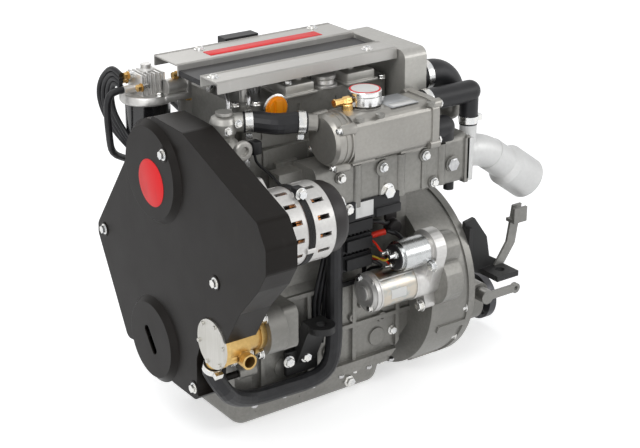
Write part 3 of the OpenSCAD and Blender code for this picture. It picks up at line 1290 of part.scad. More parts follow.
module elbow_pipe(r, m, over_l) {
    at(-over_l, 0, 0) xcyl(r + seam_rise, elbow_lead + over_l + seam_lap);
    at(elbow_lead, 0, -elbow_bend_r) rotate([90, 0, 0]) rotate(90) rotate([0, 0, -elbow_angle])
        rotate_extrude(angle = elbow_angle) translate([elbow_bend_r, 0]) circle(r);
    at(elbow_lead + elbow_bend_r * sin(elbow_angle), 0, -elbow_bend_r * (1 - cos(elbow_angle)))
        rotate([0, 90 + elbow_angle, 0]) rotate_extrude() polygon([
            [0, -seam_lap], [r + seam_rise, -seam_lap], [r + seam_rise, elbow_tail - mouth_slope_l], [m, elbow_tail],
            [m, elbow_tail + mouth_l + over_l], [0, elbow_tail + mouth_l + over_l]
        ]);
}
module exhaust_elbow() color("silver") engine() at(manifold_x + manifold_l, elbow_y, elbow_z) difference() {
    union() {
        at(0, -elbow_flange_out + 2, -elbow_flange_half + 6) cube([elbow_flange_t, 2 * elbow_flange_out - 4, 2 * elbow_flange_half - 12]);
        elbow_pipe(elbow_r, mouth_r, 0);
        at(tee_at[0] - manifold_x - manifold_l, tee_at[1] - elbow_y, 0) cylinder(r = spray_boss_r, h = tee_low_z - elbow_z);
    }
    elbow_pipe(elbow_r - elbow_wall, mouth_r - elbow_wall, over);
    for (y = [-1, 1], z = [-1, 1]) at(-over, y * (elbow_flange_out - 8), z * (elbow_flange_half - 13)) xcyl(small_bolt_r, elbow_flange_t + 2 * over);
}
module intake_elbow() at(intake_hose_x, intake_hose_y, intake_hose_z) {
    xcyl(intake_hose_r, intake_lead);
    at(intake_lead, 0, -intake_bend_r) rotate([90, 0, 0]) rotate_extrude(angle = 90)
        translate([intake_bend_r, 0]) circle(intake_hose_r);
    at(intake_lead + intake_bend_r, 0, cross_z + cross_r + 4 - intake_hose_z) cylinder(r = intake_hose_r, h = intake_hose_z - intake_bend_r - cross_z - cross_r - 4);
}

// Starter
module starter_motor() color("silver") engine() difference() {
    union() {
        at(starter_x, starter_y, starter_z) {
            xcone(starter_r - 9, starter_r - 2, 4);
            at(4, 0, 0) xcyl(starter_r, starter_cap_l - 4);
            at(starter_cap_l, 0, 0) xcyl(starter_r - 2, starter_can_l);
            at(starter_cap_l + starter_can_l, 0, 0) xcyl(starter_r, drive_l);
            for (a = [35, 215]) rotate([a, 0, 0]) at(2, 0, starter_r - 5) xcyl(4, starter_cap_l + starter_can_l + drive_l - 2);
        }
        at(block_end_x - starter_nose_t, 0, 0) across(starter_nose_t) {
            link([starter_y, starter_z], [solenoid_y, solenoid_z], starter_r);
            link([starter_y - 12, starter_z - 44], [starter_y + 6, starter_z + 20], 12);
        }
        at(block_end_x - starter_nose_t - 6, 0, 0) across(12) link([starter_y, starter_z], [solenoid_y, solenoid_z], solenoid_r - 1);
    }
    at(starter_x + starter_cap_l - 4, starter_y, starter_z) xcyl(starter_r - 6, starter_can_l + 8);
    at(block_end_x - drive_l + 8, starter_y, starter_z) xcyl(drive_room_r, drive_l);
    at(starter_x + 4, starter_y, starter_z) xcyl(armature_shaft_r + run, drive_l + starter_can_l);
}
module starter_armature() color("chocolate") engine() at(starter_x, starter_y, starter_z) {
    at(6, 0, 0) xcyl(armature_shaft_r, block_end_x - starter_x + 18);
    at(starter_cap_l + 6, 0, 0) difference() {
        xcyl(starter_r - 10, starter_can_l - 12);
        ring_slots(16, starter_r - 15, 2.5, 12, starter_can_l);
    }
}
module starter_pinion() color("lightslategray") engine() difference() {
    union() {
        at(pinion_x, starter_y, starter_z) gear(pinion_teeth, 0, pinion_turn, pinion_w);
        at(pinion_x - 18, starter_y, starter_z) xcyl(drive_room_r - 3, 18);
    }
    at(pinion_x - 19, starter_y, starter_z) xcyl(armature_shaft_r + run, 60);
}
module starter_solenoid() color("gray") engine() at(block_end_x - starter_nose_t - 6 - solenoid_l, solenoid_y, solenoid_z) {
    xcyl(solenoid_r - 4, 6);
    at(6, 0, 0) xcyl(solenoid_r, solenoid_l - 6);
    for (p = [[-10, 9], [11, 7]]) at(0, p[0], p[1]) mirror([1, 0, 0]) {
        xcyl(6, 5);
        xcyl(3.5, 16);
    }
}

// Flywheel housing, flywheel and gearbox
module bell_housing() color("gray") engine() difference() {
    union() {
        at(block_end_x, 0, 0) xcyl(bell_r, bell_depth);
        at(block_end_x, 0, 0) across(36) {
            link([starter_y * 0.7, starter_z * 0.7], [starter_y - 8, starter_z - 4], starter_lobe_r);
            link([solenoid_y, solenoid_z - 8], [solenoid_y + 60, solenoid_z - 30], 28);
        }
        at(bell_end_x - 14, 0, 0) xcyl(bell_r + 3, 14);
        for (a = [200 : 40 : 340]) rotate([a - 90, 0, 0]) at(block_end_x + 20, -7, bell_r - 8) cube([bell_depth - 30, 14, 11]);
    }
    at(block_end_x + bell_face_t, 0, 0) xcyl(bell_in_r, bell_depth - 2 * bell_face_t);
    at(block_end_x - over, 0, 0) xcyl(crank_flange_r + gap, bell_face_t + 2 * over);
    at(bell_end_x - bell_face_t - over, 0, 0) xcyl(spigot_r, bell_face_t + 2 * over);
    at(block_end_x - over, starter_y, starter_z) xcyl(drive_room_r + gap, 32);
}
module flywheel() color("darkslategray") engine() difference() {
    union() {
        at(flywheel_x, 0, 0) gear(ring_teeth, 0, 0, gear_w);
        at(flywheel_x, 0, 0) xcyl(ring_pitch_r - 6, flywheel_t);
    }
    at(flywheel_x + flywheel_t * 0.5, 0, 0) difference() {
        xcyl(ring_pitch_r - 22, flywheel_t);
        at(-over, 0, 0) xcyl(crank_flange_r, flywheel_t + 2 * over);
    }
    for (a = [30 : 60 : 330]) rotate([a, 0, 0]) at(flywheel_x - over, 0, ring_pitch_r * 0.55) xcyl(12, flywheel_t + 2 * over);
}
module gearbox_case() color("gray") engine() difference() {
    union() {
        at(bell_end_x, 0, 0) across(gearbox_l) link([0, 0], [0, output_z], gearbox_low_r);
        at(bell_end_x, 0, 0) xcyl(case_top_r, gearbox_l - 12);
        at(bell_end_x, 0, 0) xcyl(case_top_r + 26, 14);
        at(gearbox_end_x - over, 0, output_z) xcyl(tail_r, tail_l + over);
        at(lever_x, lever_boss_y + lever_boss_d, lever_z) ycyl(lever_boss_r, lever_boss_d);
        for (s = [-1, 1]) at(bell_end_x + 24, s * (gearbox_low_r + 12) - 4, output_z + 20) cube([10, 8, 70]);
    }
    at(bell_end_x + gearbox_wall, 0, 0) difference() {
        across(gearbox_l - 2 * gearbox_wall) link([0, 0], [0, output_z], gearbox_low_r - gearbox_wall + 1);
        at(-over, 0, transfer_z) xcyl(transfer_pin_r, gearbox_l);
    }
    at(bell_end_x - over, 0, 0) xcyl(input_shaft_r + run, gearbox_l - gearbox_wall);
    at(bell_end_x + gearbox_wall, 0, output_z) xcyl(output_shaft_r + run, gearbox_l + tail_l);
    at(lever_x, lever_boss_y + 20, lever_z) ycyl(lever_pin_r + run, 22);
}
module gearbox_input_shaft() color("silver") engine() {
    at(flywheel_x + flywheel_t, 0, 0) xcyl(input_shaft_r, gearbox_end_x - 20 - flywheel_x - flywheel_t);
    at(flywheel_x + flywheel_t, 0, 0) xcyl(crank_flange_r - 4, 12);
    at(gear_plane_x, 0, 0) gear(input_teeth, 0, 0, gear_w);
}
module transfer_gear() color("lightsteelblue") engine() at(gear_plane_x, 0, transfer_z)
    gear(transfer_teeth, transfer_pin_r + run, transfer_turn, gear_w);
module output_gear() color("lightsteelblue") engine() at(gear_plane_x, 0, output_z)
    gear(output_teeth, output_shaft_r + run, output_turn, gear_w);
module output_coupling() color("dimgray") engine() at(0, 0, output_z) difference() {
    union() {
        at(bell_end_x + gearbox_wall + 3, 0, 0) xcyl(output_shaft_r, coupling_x - bell_end_x - gearbox_wall - 3);
        at(coupling_x, 0, 0) xcyl(coupling_r, coupling_t);
        at(coupling_x - 8, 0, 0) xcyl(coupling_r * 0.58, 8 + over);
    }
    for (a = [45 : 90 : 315]) rotate([a, 0, 0]) at(coupling_x - over, 0, coupling_pcd / 2) xcyl(coupling_hole_r, coupling_t + 2 * over);
    at(coupling_x + coupling_t - 4, 0, 0) xcyl(coupling_r * 0.52, 4 + over);
}
module shift_lever() color("lightgray") engine() at(lever_x, lever_boss_y - gap, lever_z) difference() {
    union() {
        at(0, 20, 0) ycyl(lever_pin_r, 20 + lever_hub_l);
        ycyl(lever_hub_r, lever_hub_l);
        at(0, -lever_hub_l + lever_t, 0) rotate([90, 0, 0]) linear_extrude(height = lever_t) {
            translate([0, -lever_w / 2]) square([lever_l, lever_w]);
            translate([lever_l, 0]) circle(lever_eye_r);
        }
    }
    at(lever_l, over, 0) ycyl(lever_hole_r, lever_hub_l + 2 * over);
}

// Feet and brackets
module front_foot(s) mirror([0, s > 0 ? 1 : 0, 0]) difference() {
    // The near side stands on the crankcase's ribs, the far side on its bare wall
    seat = -case_half - (s > 0 ? 0 : rib_out);
    union() {
        at(foot_front_x - 40, seat - 8, -80) cube([64, 8, 44]);
        at(foot_front_x - 20, 0, 0) across(40) polygon([[seat, -78], [seat - 8, -78], [seat - 8, -62],
            [-foot_y + 12, foot_z - 6], [-foot_y + 6, foot_z], [-foot_y + 6, foot_z + foot_t],
            [-foot_y + 28, foot_z + foot_t], [seat, -24]]);
        at(foot_front_x, -foot_y, foot_z) cylinder(r = foot_eye_r, h = foot_t);
    }
    at(foot_front_x, -foot_y, foot_z - 30) cylinder(r = foot_hole_r, h = foot_t + 60);
}
module rear_foot(s) mirror([0, s > 0 ? 1 : 0, 0]) difference() {
    union() {
        at(bell_end_x, -rear_plate_y, 0) along(rear_plate_t) polygon([[0, foot_z + 16], [0, 122], [22, 126], [52, 84],
            [60, foot_z + 30], [foot_rear_x - bell_end_x + 24, foot_z + foot_t], [foot_rear_x - bell_end_x + 24, foot_z],
            [foot_rear_x - bell_end_x - 26, foot_z]]);
        at(bell_end_x, -rear_plate_y - rear_plate_t - 12, foot_z + 40) cube([rear_plate_t, 12 + rear_plate_t, 60]);
        at(foot_rear_x - 26, -foot_y - 24, foot_z) cube([50, foot_y + 24 - rear_plate_y, foot_t - 2]);
    }
    at(foot_rear_x, -foot_y, foot_z - over) cylinder(r = foot_hole_r, h = foot_t + 2 * over);
}
module engine_feet() color([0.2, 0.19, 0.18]) engine() for (s = [-1, 1]) {
    front_foot(s);
    rear_foot(s);
}
module cable_bracket() color("darkgray") engine() {
    at(foot_rear_x + 6, -rear_plate_y - rear_plate_t, foot_z + foot_t - 2) along(5)
        polygon([[-2, 0], [20, 0], [44, 34], [56, 108], [36, 108], [25, 40]]);
    at(foot_rear_x + 30, -rear_plate_y - rear_plate_t - 22, foot_z + foot_t + 78) cube([30, 22, 6]);
    at(foot_rear_x + 30, -rear_plate_y - rear_plate_t - 22, foot_z + foot_t + 78) cube([30, 5, 28]);
}

// Top rails and intake
module rail_outline(y0, y1) difference() {
    translate([y0, rail_z]) square([y1 - y0, rail_h]);
    translate([y0 + rail_t, rail_z - over]) square([y1 - y0 - 2 * rail_t, rail_h + over - rail_t]);
}
module top_rails() color("silver") engine() {
    at(rail_x, 0, 0) across(rail_l) {
        rail_outline(rail_near_y, rail_near_in_y);
        rail_outline(rail_far_in_y, rail_far_y);
    }
    for (s = [0.2, 0.5, 0.8], y = [rail_near_in_y - 14, rail_far_in_y + 14])
        at(rail_x + s * rail_l, y, rocker_z) cylinder(r = rail_post_r, h = rail_top_z - rocker_z - over);
    for (p = rail_screw_shares) at(rail_x + p[0] * rail_l, rail_near_y + p[1] * (rail_far_y - rail_near_y), rail_top_z)
        cylinder(r = rail_screw_r, h = rail_screw_h);
}
module rail_channel() color([0.12, 0.12, 0.14]) engine() {
    at(rail_x + 2, rail_near_in_y, rail_top_z - channel_drop - 3) cube([rail_l - 4, rail_far_in_y - rail_near_in_y, 3]);
    at(rail_x + 2, rail_near_in_y, rail_z) cube([3, rail_far_in_y - rail_near_in_y, rail_h - channel_drop - over]);
}
module air_silencer() color("darkgray") engine() difference() {
    union() {
        at(silencer_x, silencer_y, silencer_z) across(silencer_w) rounded(silencer_l, silencer_top_z - silencer_z, silencer_corner_r);
        for (y = [-60, 30]) at(silencer_x + 8, y, head_z) cube([18, 18, silencer_z - head_z + over]);
        at(silencer_x + silencer_w, intake_hose_y, intake_hose_z) xcyl(intake_hose_r - 3, 6 - run);
    }
    at(silencer_x + 4, silencer_y + 4, silencer_z + 4) across(silencer_w - 8)
        rounded(silencer_l - 8, silencer_top_z - silencer_z - 8, silencer_corner_r - 4);
    at(silencer_x + silencer_w - 5, intake_hose_y, intake_hose_z) xcyl(intake_hose_r - 6, 20);
}
module intake_manifold() color("gray") engine() difference() {
    union() {
        at(intake_x, upper_half, deck_z + 6) cube([intake_l, intake_out, intake_h - 6]);
        at(intake_x + intake_l - over, upper_half + 26, cross_z - 38) xcyl(cross_r, cross_x - intake_x - intake_l + over);
        at(cross_x, upper_half + 26, cross_z - 38) sphere(r = cross_r, $fn = 48);
        at(cross_x, upper_half + 26, cross_z - 38) cylinder(r = cross_r, h = 38);
        at(cross_x, upper_half + 26, cross_z) ycyl(cross_r, upper_half + 26 - intake_hose_y);
        for (y = [upper_half + 26, intake_hose_y]) at(cross_x, y, cross_z) sphere(r = cross_r, $fn = 48);
        at(cross_x, intake_hose_y, cross_z) cylinder(r = intake_hose_r - 4, h = cross_r + 4 - run);
        at(block_end_x, 30, cross_z - 48) cube([cross_x - block_end_x, 8, 40]);
    }
    at(intake_x + 5, upper_half + 6, deck_z + 12) cube([intake_l - 10, intake_out - 12, intake_h - 18]);
    at(intake_x + 20, upper_half + 26, cross_z - 38) xcyl(cross_r - 4, cross_x - intake_x - 20);
}

// Fuel filter, hoses, caps and wiring
function filter_fitting(x, y) = [filter_at[0], filter_at[1], fitting_z] + (filter_head_r * 0.8 + fitting_l) * [x, y, 0];
module fuel_filter() color([0.13, 0.13, 0.14]) engine() {
    at(filter_at[0], filter_at[1], filter_top_z - filter_l) rotate_extrude()
        polygon([[0, 0], [filter_r - 6, 0], [filter_r, 6], [filter_r, filter_l], [0, filter_l]]);
    at(filter_at[0], filter_at[1], filter_top_z) cylinder(r = filter_head_r, h = filter_head_h);
    for (k = [0 : fin_n - 1]) at(filter_at[0], filter_at[1], filter_top_z + filter_head_h + k * 3 * fin_t) {
        cylinder(r = filter_head_r * 0.45, h = 3 * fin_t);
        at(0, 0, 1.5 * fin_t) cylinder(r = filter_head_r * 0.8, h = fin_t);
    }
    at(filter_at[0], filter_at[1], fitting_z) for (a = [-90, 180])
        rotate([90, 0, a + 90]) cylinder(r = fitting_r, h = filter_head_r * 0.8 + fitting_l - skin_gap);
    at(filter_at[0], upper_half, filter_top_z) cube([block_x + 30 - filter_at[0], 18, filter_head_h]);
    at(block_x + 4, upper_half, head_z - 40) cube([26, 6, filter_top_z - head_z + 41]);
}
module fuel_hoses() color([0.09, 0.09, 0.1]) engine() {
    hose(concat([filter_fitting(-1, 0)], fuel_hose_low, [fuel_pump_hose_end]), fuel_hose_r, 4);
    hose(concat([filter_fitting(0, 1)], fuel_hose_high, [fuel_rail_hose_end]), fuel_hose_r, 4);
}
module oil_filter() color([0.16, 0.16, 0.17]) engine() at(oil_filter_x, case_half, oil_filter_z) rotate([-90, 0, 0]) {
    cylinder(r = oil_filter_r - 6, h = 12);
    at(0, 0, 12) rotate_extrude() polygon([[0, 0], [oil_filter_r, 0], [oil_filter_r, oil_filter_l - 12], [oil_filter_r - 8, oil_filter_l - 4], [0, oil_filter_l - 4]]);
}
module oil_filler_cap() color("darkorange") engine() at(filler_x, -rocker_cover_half - filler_neck_h - run, filler_z) {
    ycyl(filler_cap_r, cap_disc_h / 2);
    ycyl(filler_cap_r * 0.8, cap_disc_h);
    at(-grip_w / 2, -grip_h, -filler_cap_r * 0.75) cube([grip_w, grip_h, filler_cap_r * 1.5]);
}
module along_stick(s) translate(stick_at) rotate([-stick_tilt, 0, 0]) translate([0, 0, s]) children();
module dipstick() color("gold") engine() along_stick(stick_tube_l + run) {
    at(0, 0, -dipstick_l) cylinder(r = stick_r, h = dipstick_l);
    cylinder(r = stick_collar_r, h = stick_collar_h);
    at(0, stick_ring_t / 2, stick_collar_h + stick_ring_r - over) difference() {
        ycyl(stick_ring_r, stick_ring_t);
        at(0, over, 0) ycyl(stick_ring_hole_r, stick_ring_t + 2 * over);
    }
}
module wiring_connectors() color([0.14, 0.14, 0.15]) engine() {
    at(plug_x - plate_t, -case_half - rib_out - plate_t, plate_low_z) {
        cube([plug_l + 2 * plate_t, plate_t, rib_t]);
        for (x = [0, plug_l + plate_t]) at(x, -plate_t, 0)
            cube([plate_t, 2 * plate_t, plug_low_z + 3 * plug_pitch - plate_low_z]);
    }
    for (k = [0 : 2]) at(plug_x, -case_half - rib_out - plug_d, plug_low_z + k * plug_pitch) {
        cube([plug_l, plug_d, plug_h]);
        at(plug_lug, -plug_neck, plug_lug) cube([plug_l - 2 * plug_lug, plug_neck + over, plug_h - 2 * plug_lug]);
    }
    at(relay_x, rail_far_y, rail_z) cube([relay_l, relay_d, relay_h]);
    at(sensor_at[0], sensor_at[1], manifold_bottom_z - sensor_l) cylinder(r = sensor_r, h = sensor_l);
}

cylinder_block();
cylinder_head();
rocker_cover();
oil_pan();
timing_case();
casting_bolts();
crankshaft();
rod_big_ends();
pistons_and_rods();
camshaft();
valve_gear();
fuel_rail();
idler_gear();
water_idler_gear();
fuel_pump();
fuel_pump_gear();
crank_pulley();
coolant_pump();
coolant_pump_pulley();
drive_belt();
belt_cover();
alternator_housing();
alternator_windings();
alternator_rotor();
alternator_brackets();
sea_pump_body();
sea_pump_cover();
sea_pump_impeller();
heat_exchanger();
pressure_cap();
coolant_elbow();
rubber_hoses();
sea_water_hose();
hose_clamps();
exhaust_manifold();
exhaust_elbow();
starter_motor();
starter_armature();
starter_pinion();
starter_solenoid();
bell_housing();
flywheel();
gearbox_case();
gearbox_input_shaft();
transfer_gear();
output_gear();
output_coupling();
shift_lever();
engine_feet();
cable_bracket();
top_rails();
rail_channel();
air_silencer();
intake_manifold();
fuel_filter();
fuel_hoses();
oil_filter();
oil_filler_cap();
dipstick();
wiring_connectors();
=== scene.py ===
"""A compact marine diesel engine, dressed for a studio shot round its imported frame.

The frame is in metres: +X runs back to the propeller coupling, -Y is the side of the heat exchanger and the
starter, +Z is up. Places and sizes of the pieces on the engine are in millimetres instead, counted back from
the face of the belt cover, across from the middle of the engine and up from the crankshaft, and `spot` turns
such a place into the frame's metres. The floor, the lamps and the finishes are in metres.
"""

import json
import logging
import math
from dataclasses import dataclass, field
from enum import Enum
from typing import Sequence

import bmesh
import bpy
from mathutils import Matrix, Vector


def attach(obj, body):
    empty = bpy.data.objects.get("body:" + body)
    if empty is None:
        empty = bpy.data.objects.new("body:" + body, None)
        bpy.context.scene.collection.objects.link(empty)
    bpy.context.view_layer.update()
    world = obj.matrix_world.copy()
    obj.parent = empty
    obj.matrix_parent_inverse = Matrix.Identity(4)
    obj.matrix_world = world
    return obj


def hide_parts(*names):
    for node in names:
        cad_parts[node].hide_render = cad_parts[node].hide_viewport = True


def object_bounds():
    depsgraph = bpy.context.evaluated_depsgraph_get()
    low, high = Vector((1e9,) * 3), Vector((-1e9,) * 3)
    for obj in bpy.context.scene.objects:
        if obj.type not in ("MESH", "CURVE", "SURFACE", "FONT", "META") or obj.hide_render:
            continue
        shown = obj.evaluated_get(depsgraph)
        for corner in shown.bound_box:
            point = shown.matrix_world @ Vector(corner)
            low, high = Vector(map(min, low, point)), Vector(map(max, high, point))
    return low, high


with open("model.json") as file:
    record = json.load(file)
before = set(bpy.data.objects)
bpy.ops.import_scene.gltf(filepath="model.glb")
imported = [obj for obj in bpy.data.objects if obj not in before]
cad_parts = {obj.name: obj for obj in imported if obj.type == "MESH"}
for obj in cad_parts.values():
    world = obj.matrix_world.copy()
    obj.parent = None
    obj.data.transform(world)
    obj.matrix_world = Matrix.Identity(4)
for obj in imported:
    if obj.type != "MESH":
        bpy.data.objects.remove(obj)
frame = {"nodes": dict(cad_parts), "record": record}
CAD_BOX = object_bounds()
LOG = logging.getLogger("engine")

Pair = tuple[float, float]
Pairs = Sequence[Pair]
Place = tuple[float, float, float]
Places = Sequence[Place]
Colour = tuple[float, float, float]
WHITE = (1.0, 1.0, 1.0, 1.0)
MM = 0.001
FOOT_MID_X = 420.0
FOOT_Z = 14.0
SMOOTH_ANGLE = math.radians(32)
SLOTS = {part["slot"] for part in frame["record"]["materials"]}


def spot(x: float, y: float, z: float) -> Vector:
    """Turns a place on the engine, in millimetres, into the frame's metres.

    Args:
        x: Distance back from the face of the belt cover.
        y: Distance across from the middle, away from the heat exchanger.
        z: Height above the crankshaft.

    Returns:
        The place in the frame.
    """
    return Vector(((x - FOOT_MID_X) * MM, y * MM, (z - FOOT_Z) * MM))


def round_places(x: float, axis: Pair, r: float, angles: Sequence[float]) -> list[Place]:
    """Places on a circle round an axis along X.

    Args:
        x: Where the circle lies along the axis.
        axis: The axis's place across and up.
        r: The circle's radius.
        angles: Angles in degrees, from +Y towards +Z.

    Returns:
        One place for each angle.
    """
    y, z = axis
    return [(x, y + r * math.cos(a), z + r * math.sin(a)) for a in map(math.radians, angles)]


class Facing(Enum):
    """The way that a fastener's head or a fitting's open end faces."""

    FRONT = (-1.0, 0.0, 0.0)
    BACK = (1.0, 0.0, 0.0)
    NEAR = (0.0, -1.0, 0.0)
    FAR = (0.0, 1.0, 0.0)
    UP = (0.0, 0.0, 1.0)
    DOWN = (0.0, 0.0, -1.0)

    def turn(self) -> Matrix:
        """The rotation that takes +Z to this direction."""
        return Vector((0.0, 0.0, 1.0)).rotation_difference(Vector(self.value)).to_matrix().to_4x4()


# Shader maths


class Socket:
    """A node's output that takes part in Python arithmetic."""

    def __init__(self, graph: "Graph", socket: bpy.types.NodeSocket) -> None:
        """Keeps the socket and the graph that it is on.

        Args:
            graph: The nodes that are being built.
            socket: The output that is wrapped.
        """
        self.graph = graph
        self.socket = socket

    def _maths(self, operation: str, *values: "Socket | float") -> "Socket":
        """Adds a Math node.

        Args:
            operation: The node's operation.
            values: Its inputs in order.

        Returns:
            The node's result.
        """
        return self.graph.add("ShaderNodeMath", {"operation": operation}, dict(enumerate(values)))

    def __add__(self, other: "Socket | float") -> "Socket":
        """Adds a value."""
        return self._maths("ADD", self, other)

    def __radd__(self, other: float) -> "Socket":
        """Is added to a value."""
        return self._maths("ADD", other, self)

    def __sub__(self, other: "Socket | float") -> "Socket":
        """Takes a value away."""
        return self._maths("SUBTRACT", self, other)

    def __rsub__(self, other: float) -> "Socket":
        """Is taken away from a value."""
        return self._maths("SUBTRACT", other, self)

    def __mul__(self, other: "Socket | float") -> "Socket":
        """Multiplies by a value."""
        return self._maths("MULTIPLY", self, other)

    def __rmul__(self, other: float) -> "Socket":
        """Multiplies a value."""
        return self._maths("MULTIPLY", other, self)

    def either(self, other: "Socket") -> "Socket":
        """The larger of two values, which joins two masks."""
        return self._maths("MAXIMUM", self, other)

    def step(self, low: float, high: float) -> "Socket":
        """A smooth step from 0 at low to 1 at high.

        Args:
            low: The value that gives 0.
            high: The value that gives 1.

        Returns:
            The stepped value.
        """
        inputs = {"Value": self, "From Min": low, "From Max": high}
        return self.graph.add("ShaderNodeMapRange", {"interpolation_type": "SMOOTHSTEP"}, inputs)


class Graph:
    """The nodes of a material or of the world while they are built."""

    def __init__(self, tree: bpy.types.NodeTree) -> None:
        """Keeps the tree that the nodes are on.

        Args:
            tree: The tree.
        """
        self.tree = tree

    def add(self, kind: str, settings: dict | None = None, inputs: dict | None = None,
            out: int | str = 0) -> Socket:
        """Adds any node.

        Args:
            kind: The node's type.
            settings: Its properties.
            inputs: Values or sockets by input name or number.
            out: The output to return.

        Returns:
            The chosen output.
        """
        node = self.tree.nodes.new(kind)
        for key, value in (settings or {}).items():
            setattr(node, key, value)
        for key, value in (inputs or {}).items():
            if isinstance(value, Socket):
                self.tree.links.new(value.socket, node.inputs[key])
            else:
                node.inputs[key].default_value = value
        return Socket(self, node.outputs[out])

    def show(self, output: bpy.types.Node, lighting: Socket, seen: Socket) -> None:
        """Gives the backdrop one shader to light the engine with and another to be seen with.

        Args:
            output: The output node of the floor or the world.
            lighting: The shader for every other ray.
            seen: The shader for camera, mirrored and transmitted rays.
        """
        path = self.tree.nodes.new("ShaderNodeLightPath")
        camera, glossy, through = (Socket(self, path.outputs[f"Is {ray} Ray"])
                                   for ray in ("Camera", "Glossy", "Transmission"))
        mask = camera.either(glossy).either(through)
        mixed = self.add("ShaderNodeMixShader", None, {0: mask, 1: lighting, 2: seen})
        self.tree.links.new(mixed.socket, output.inputs["Surface"])


class Sheet(Graph):
    """A material and its nodes while it is built."""

    def __init__(self, name: str) -> None:
        """Starts a material that holds one Principled shader.

        Args:
            name: The material's name.
        """
        self.material = bpy.data.materials.new(name)
        self.material.use_nodes = True
        super().__init__(self.material.node_tree)
        self.shader = self.tree.nodes["Principled BSDF"]
        self._coords: Socket | None = None

    def coords(self) -> Socket:
        """The surface's own coordinates, in metres, from one node that is shared.

        Returns:
            The coordinates.
        """
        if self._coords is None:
            self._coords = self.add("ShaderNodeTexCoord", out="Object")
        return self._coords

    def stretched(self, x: float, y: float, z: float) -> Socket:
        """The coordinates scaled by a factor along each axis.

        Args:
            x: Factor along X.
            y: Factor along Y.
            z: Factor along Z.

        Returns:
            The scaled coordinates.
        """
        return self.add("ShaderNodeVectorMath", {"operation": "MULTIPLY"}, {0: self.coords(), 1: (x, y, z)})

    def noise(self, scale: float, detail: float = 3.0, at: Socket | None = None) -> Socket:
        """Soft noise from 0 to 1.

        Args:
            scale: Cells per metre.
            detail: Octaves.
            at: Coordinates, where they aren't the surface's own.

        Returns:
            The noise.
        """
        inputs = {"Vector": at or self.coords(), "Scale": scale, "Detail": detail}
        return self.add("ShaderNodeTexNoise", None, inputs)

    def grain(self, scale: float) -> Socket:
        """Cell noise, the height of small sandy grains.

        Args:
            scale: Cells per metre.

        Returns:
            The distance to the nearest cell.
        """
        return self.add("ShaderNodeTexVoronoi", {"feature": "F1"}, {"Vector": self.coords(), "Scale": scale})

    def blend(self, factor: Socket, first: Colour, second: Colour) -> Socket:
        """Mixes two colours.

        Args:
            factor: 0 gives the first colour, 1 the second.
            first: A colour.
            second: A colour.

        Returns:
            The mixed colour.
        """
        inputs = {0: factor, 6: (*first, 1.0), 7: (*second, 1.0)}
        return self.add("ShaderNodeMix", {"data_type": "RGBA"}, inputs, 2)

    def link(self, name: str, value: Socket) -> None:
        """Feeds one of the shader's sockets.

        Args:
            name: The socket's name.
            value: What feeds it.
        """
        self.tree.links.new(value.socket, self.shader.inputs[name])

    def fix(self, **values: float) -> None:
        """Sets constants on the shader's own sockets.

        Args:
            values: Values by socket name, with underscores for spaces.
        """
        for key, value in values.items():
            self.shader.inputs[key.replace("_", " ")].default_value = value

    def relief(self, height: Socket, strength: float, distance: float, round_r: float = 0.0) -> None:
        """Gives the surface a bump, over edges rounded to a radius.

        Args:
            height: The bump's height, from 0 to 1.
            strength: The bump's strength.
            distance: The bump's depth in metres.
            round_r: Radius that edges look rounded to, in metres.
        """
        inputs: dict = {"Height": height, "Strength": strength, "Distance": distance}
        if round_r > 0:
            inputs["Normal"] = self.add("ShaderNodeBevel", {"samples": 4}, {"Radius": round_r})
        self.link("Normal", self.add("ShaderNodeBump", None, inputs))


# Finishes


@dataclass(frozen=True)
class Casting:
    """A painted or bare casting with sandy skin, dusty hollows and a soft sheen."""

    name: str
    colour: Colour
    shade: Colour
    metallic: float = 0.55
    roughness: float = 0.42
    skin: float = 0.25
    grain_scale: float = 700.0
    cloud_scale: float = 9.0
    fleck_scale: float = 180.0
    dust_span: Pair = (0.35, 0.68)
    skin_depth: float = 0.0004
    edge_r: float = 0.0016

    def make(self) -> bpy.types.Material:
        """Builds the material.

        Returns:
            The material.
        """
        sheet = Sheet(self.name)
        dust = sheet.noise(self.cloud_scale, 4.0) * 0.7 + sheet.noise(self.fleck_scale, 2.0) * 0.3
        sheet.link("Base Color", sheet.blend(dust.step(*self.dust_span), self.shade, self.colour))
        sheet.link("Roughness", self.roughness - 0.07 + 0.16 * sheet.noise(35.0, 3.0))
        sheet.fix(Metallic=self.metallic)
        sheet.relief(sheet.noise(self.grain_scale, 3.0), self.skin, self.skin_depth, self.edge_r)
        return sheet.material


@dataclass(frozen=True)
class Coated:
    """A smooth coating or moulding with a faint peel and fine scuffs."""

    name: str
    colour: Colour
    scuff: Colour
    roughness: float = 0.38
    metallic: float = 0.0
    peel_scale: float = 260.0
    peel: float = 0.12
    coat: float = 0.0
    coat_roughness: float = 0.2
    shine: float = 0.5
    scuff_scale: float = 60.0
    scuff_along: Place = (1.0, 1.0, 0.35)
    scuff_span: Pair = (0.56, 0.8)
    peel_depth: float = 0.0004
    edge_r: float = 0.0015

    def make(self) -> bpy.types.Material:
        """Builds the material.

        Returns:
            The material.
        """
        sheet = Sheet(self.name)
        marks = sheet.noise(self.scuff_scale, 6.0, sheet.stretched(*self.scuff_along))
        sheet.link("Base Color", sheet.blend(marks.step(*self.scuff_span), self.colour, self.scuff))
        sheet.link("Roughness", self.roughness + 0.14 * sheet.noise(22.0, 4.0) - 0.07)
        sheet.fix(Metallic=self.metallic, Coat_Weight=self.coat, Coat_Roughness=self.coat_roughness,
                  Specular_IOR_Level=self.shine)
        sheet.relief(sheet.noise(self.peel_scale, 2.0), self.peel, self.peel_depth, self.edge_r)
        return sheet.material


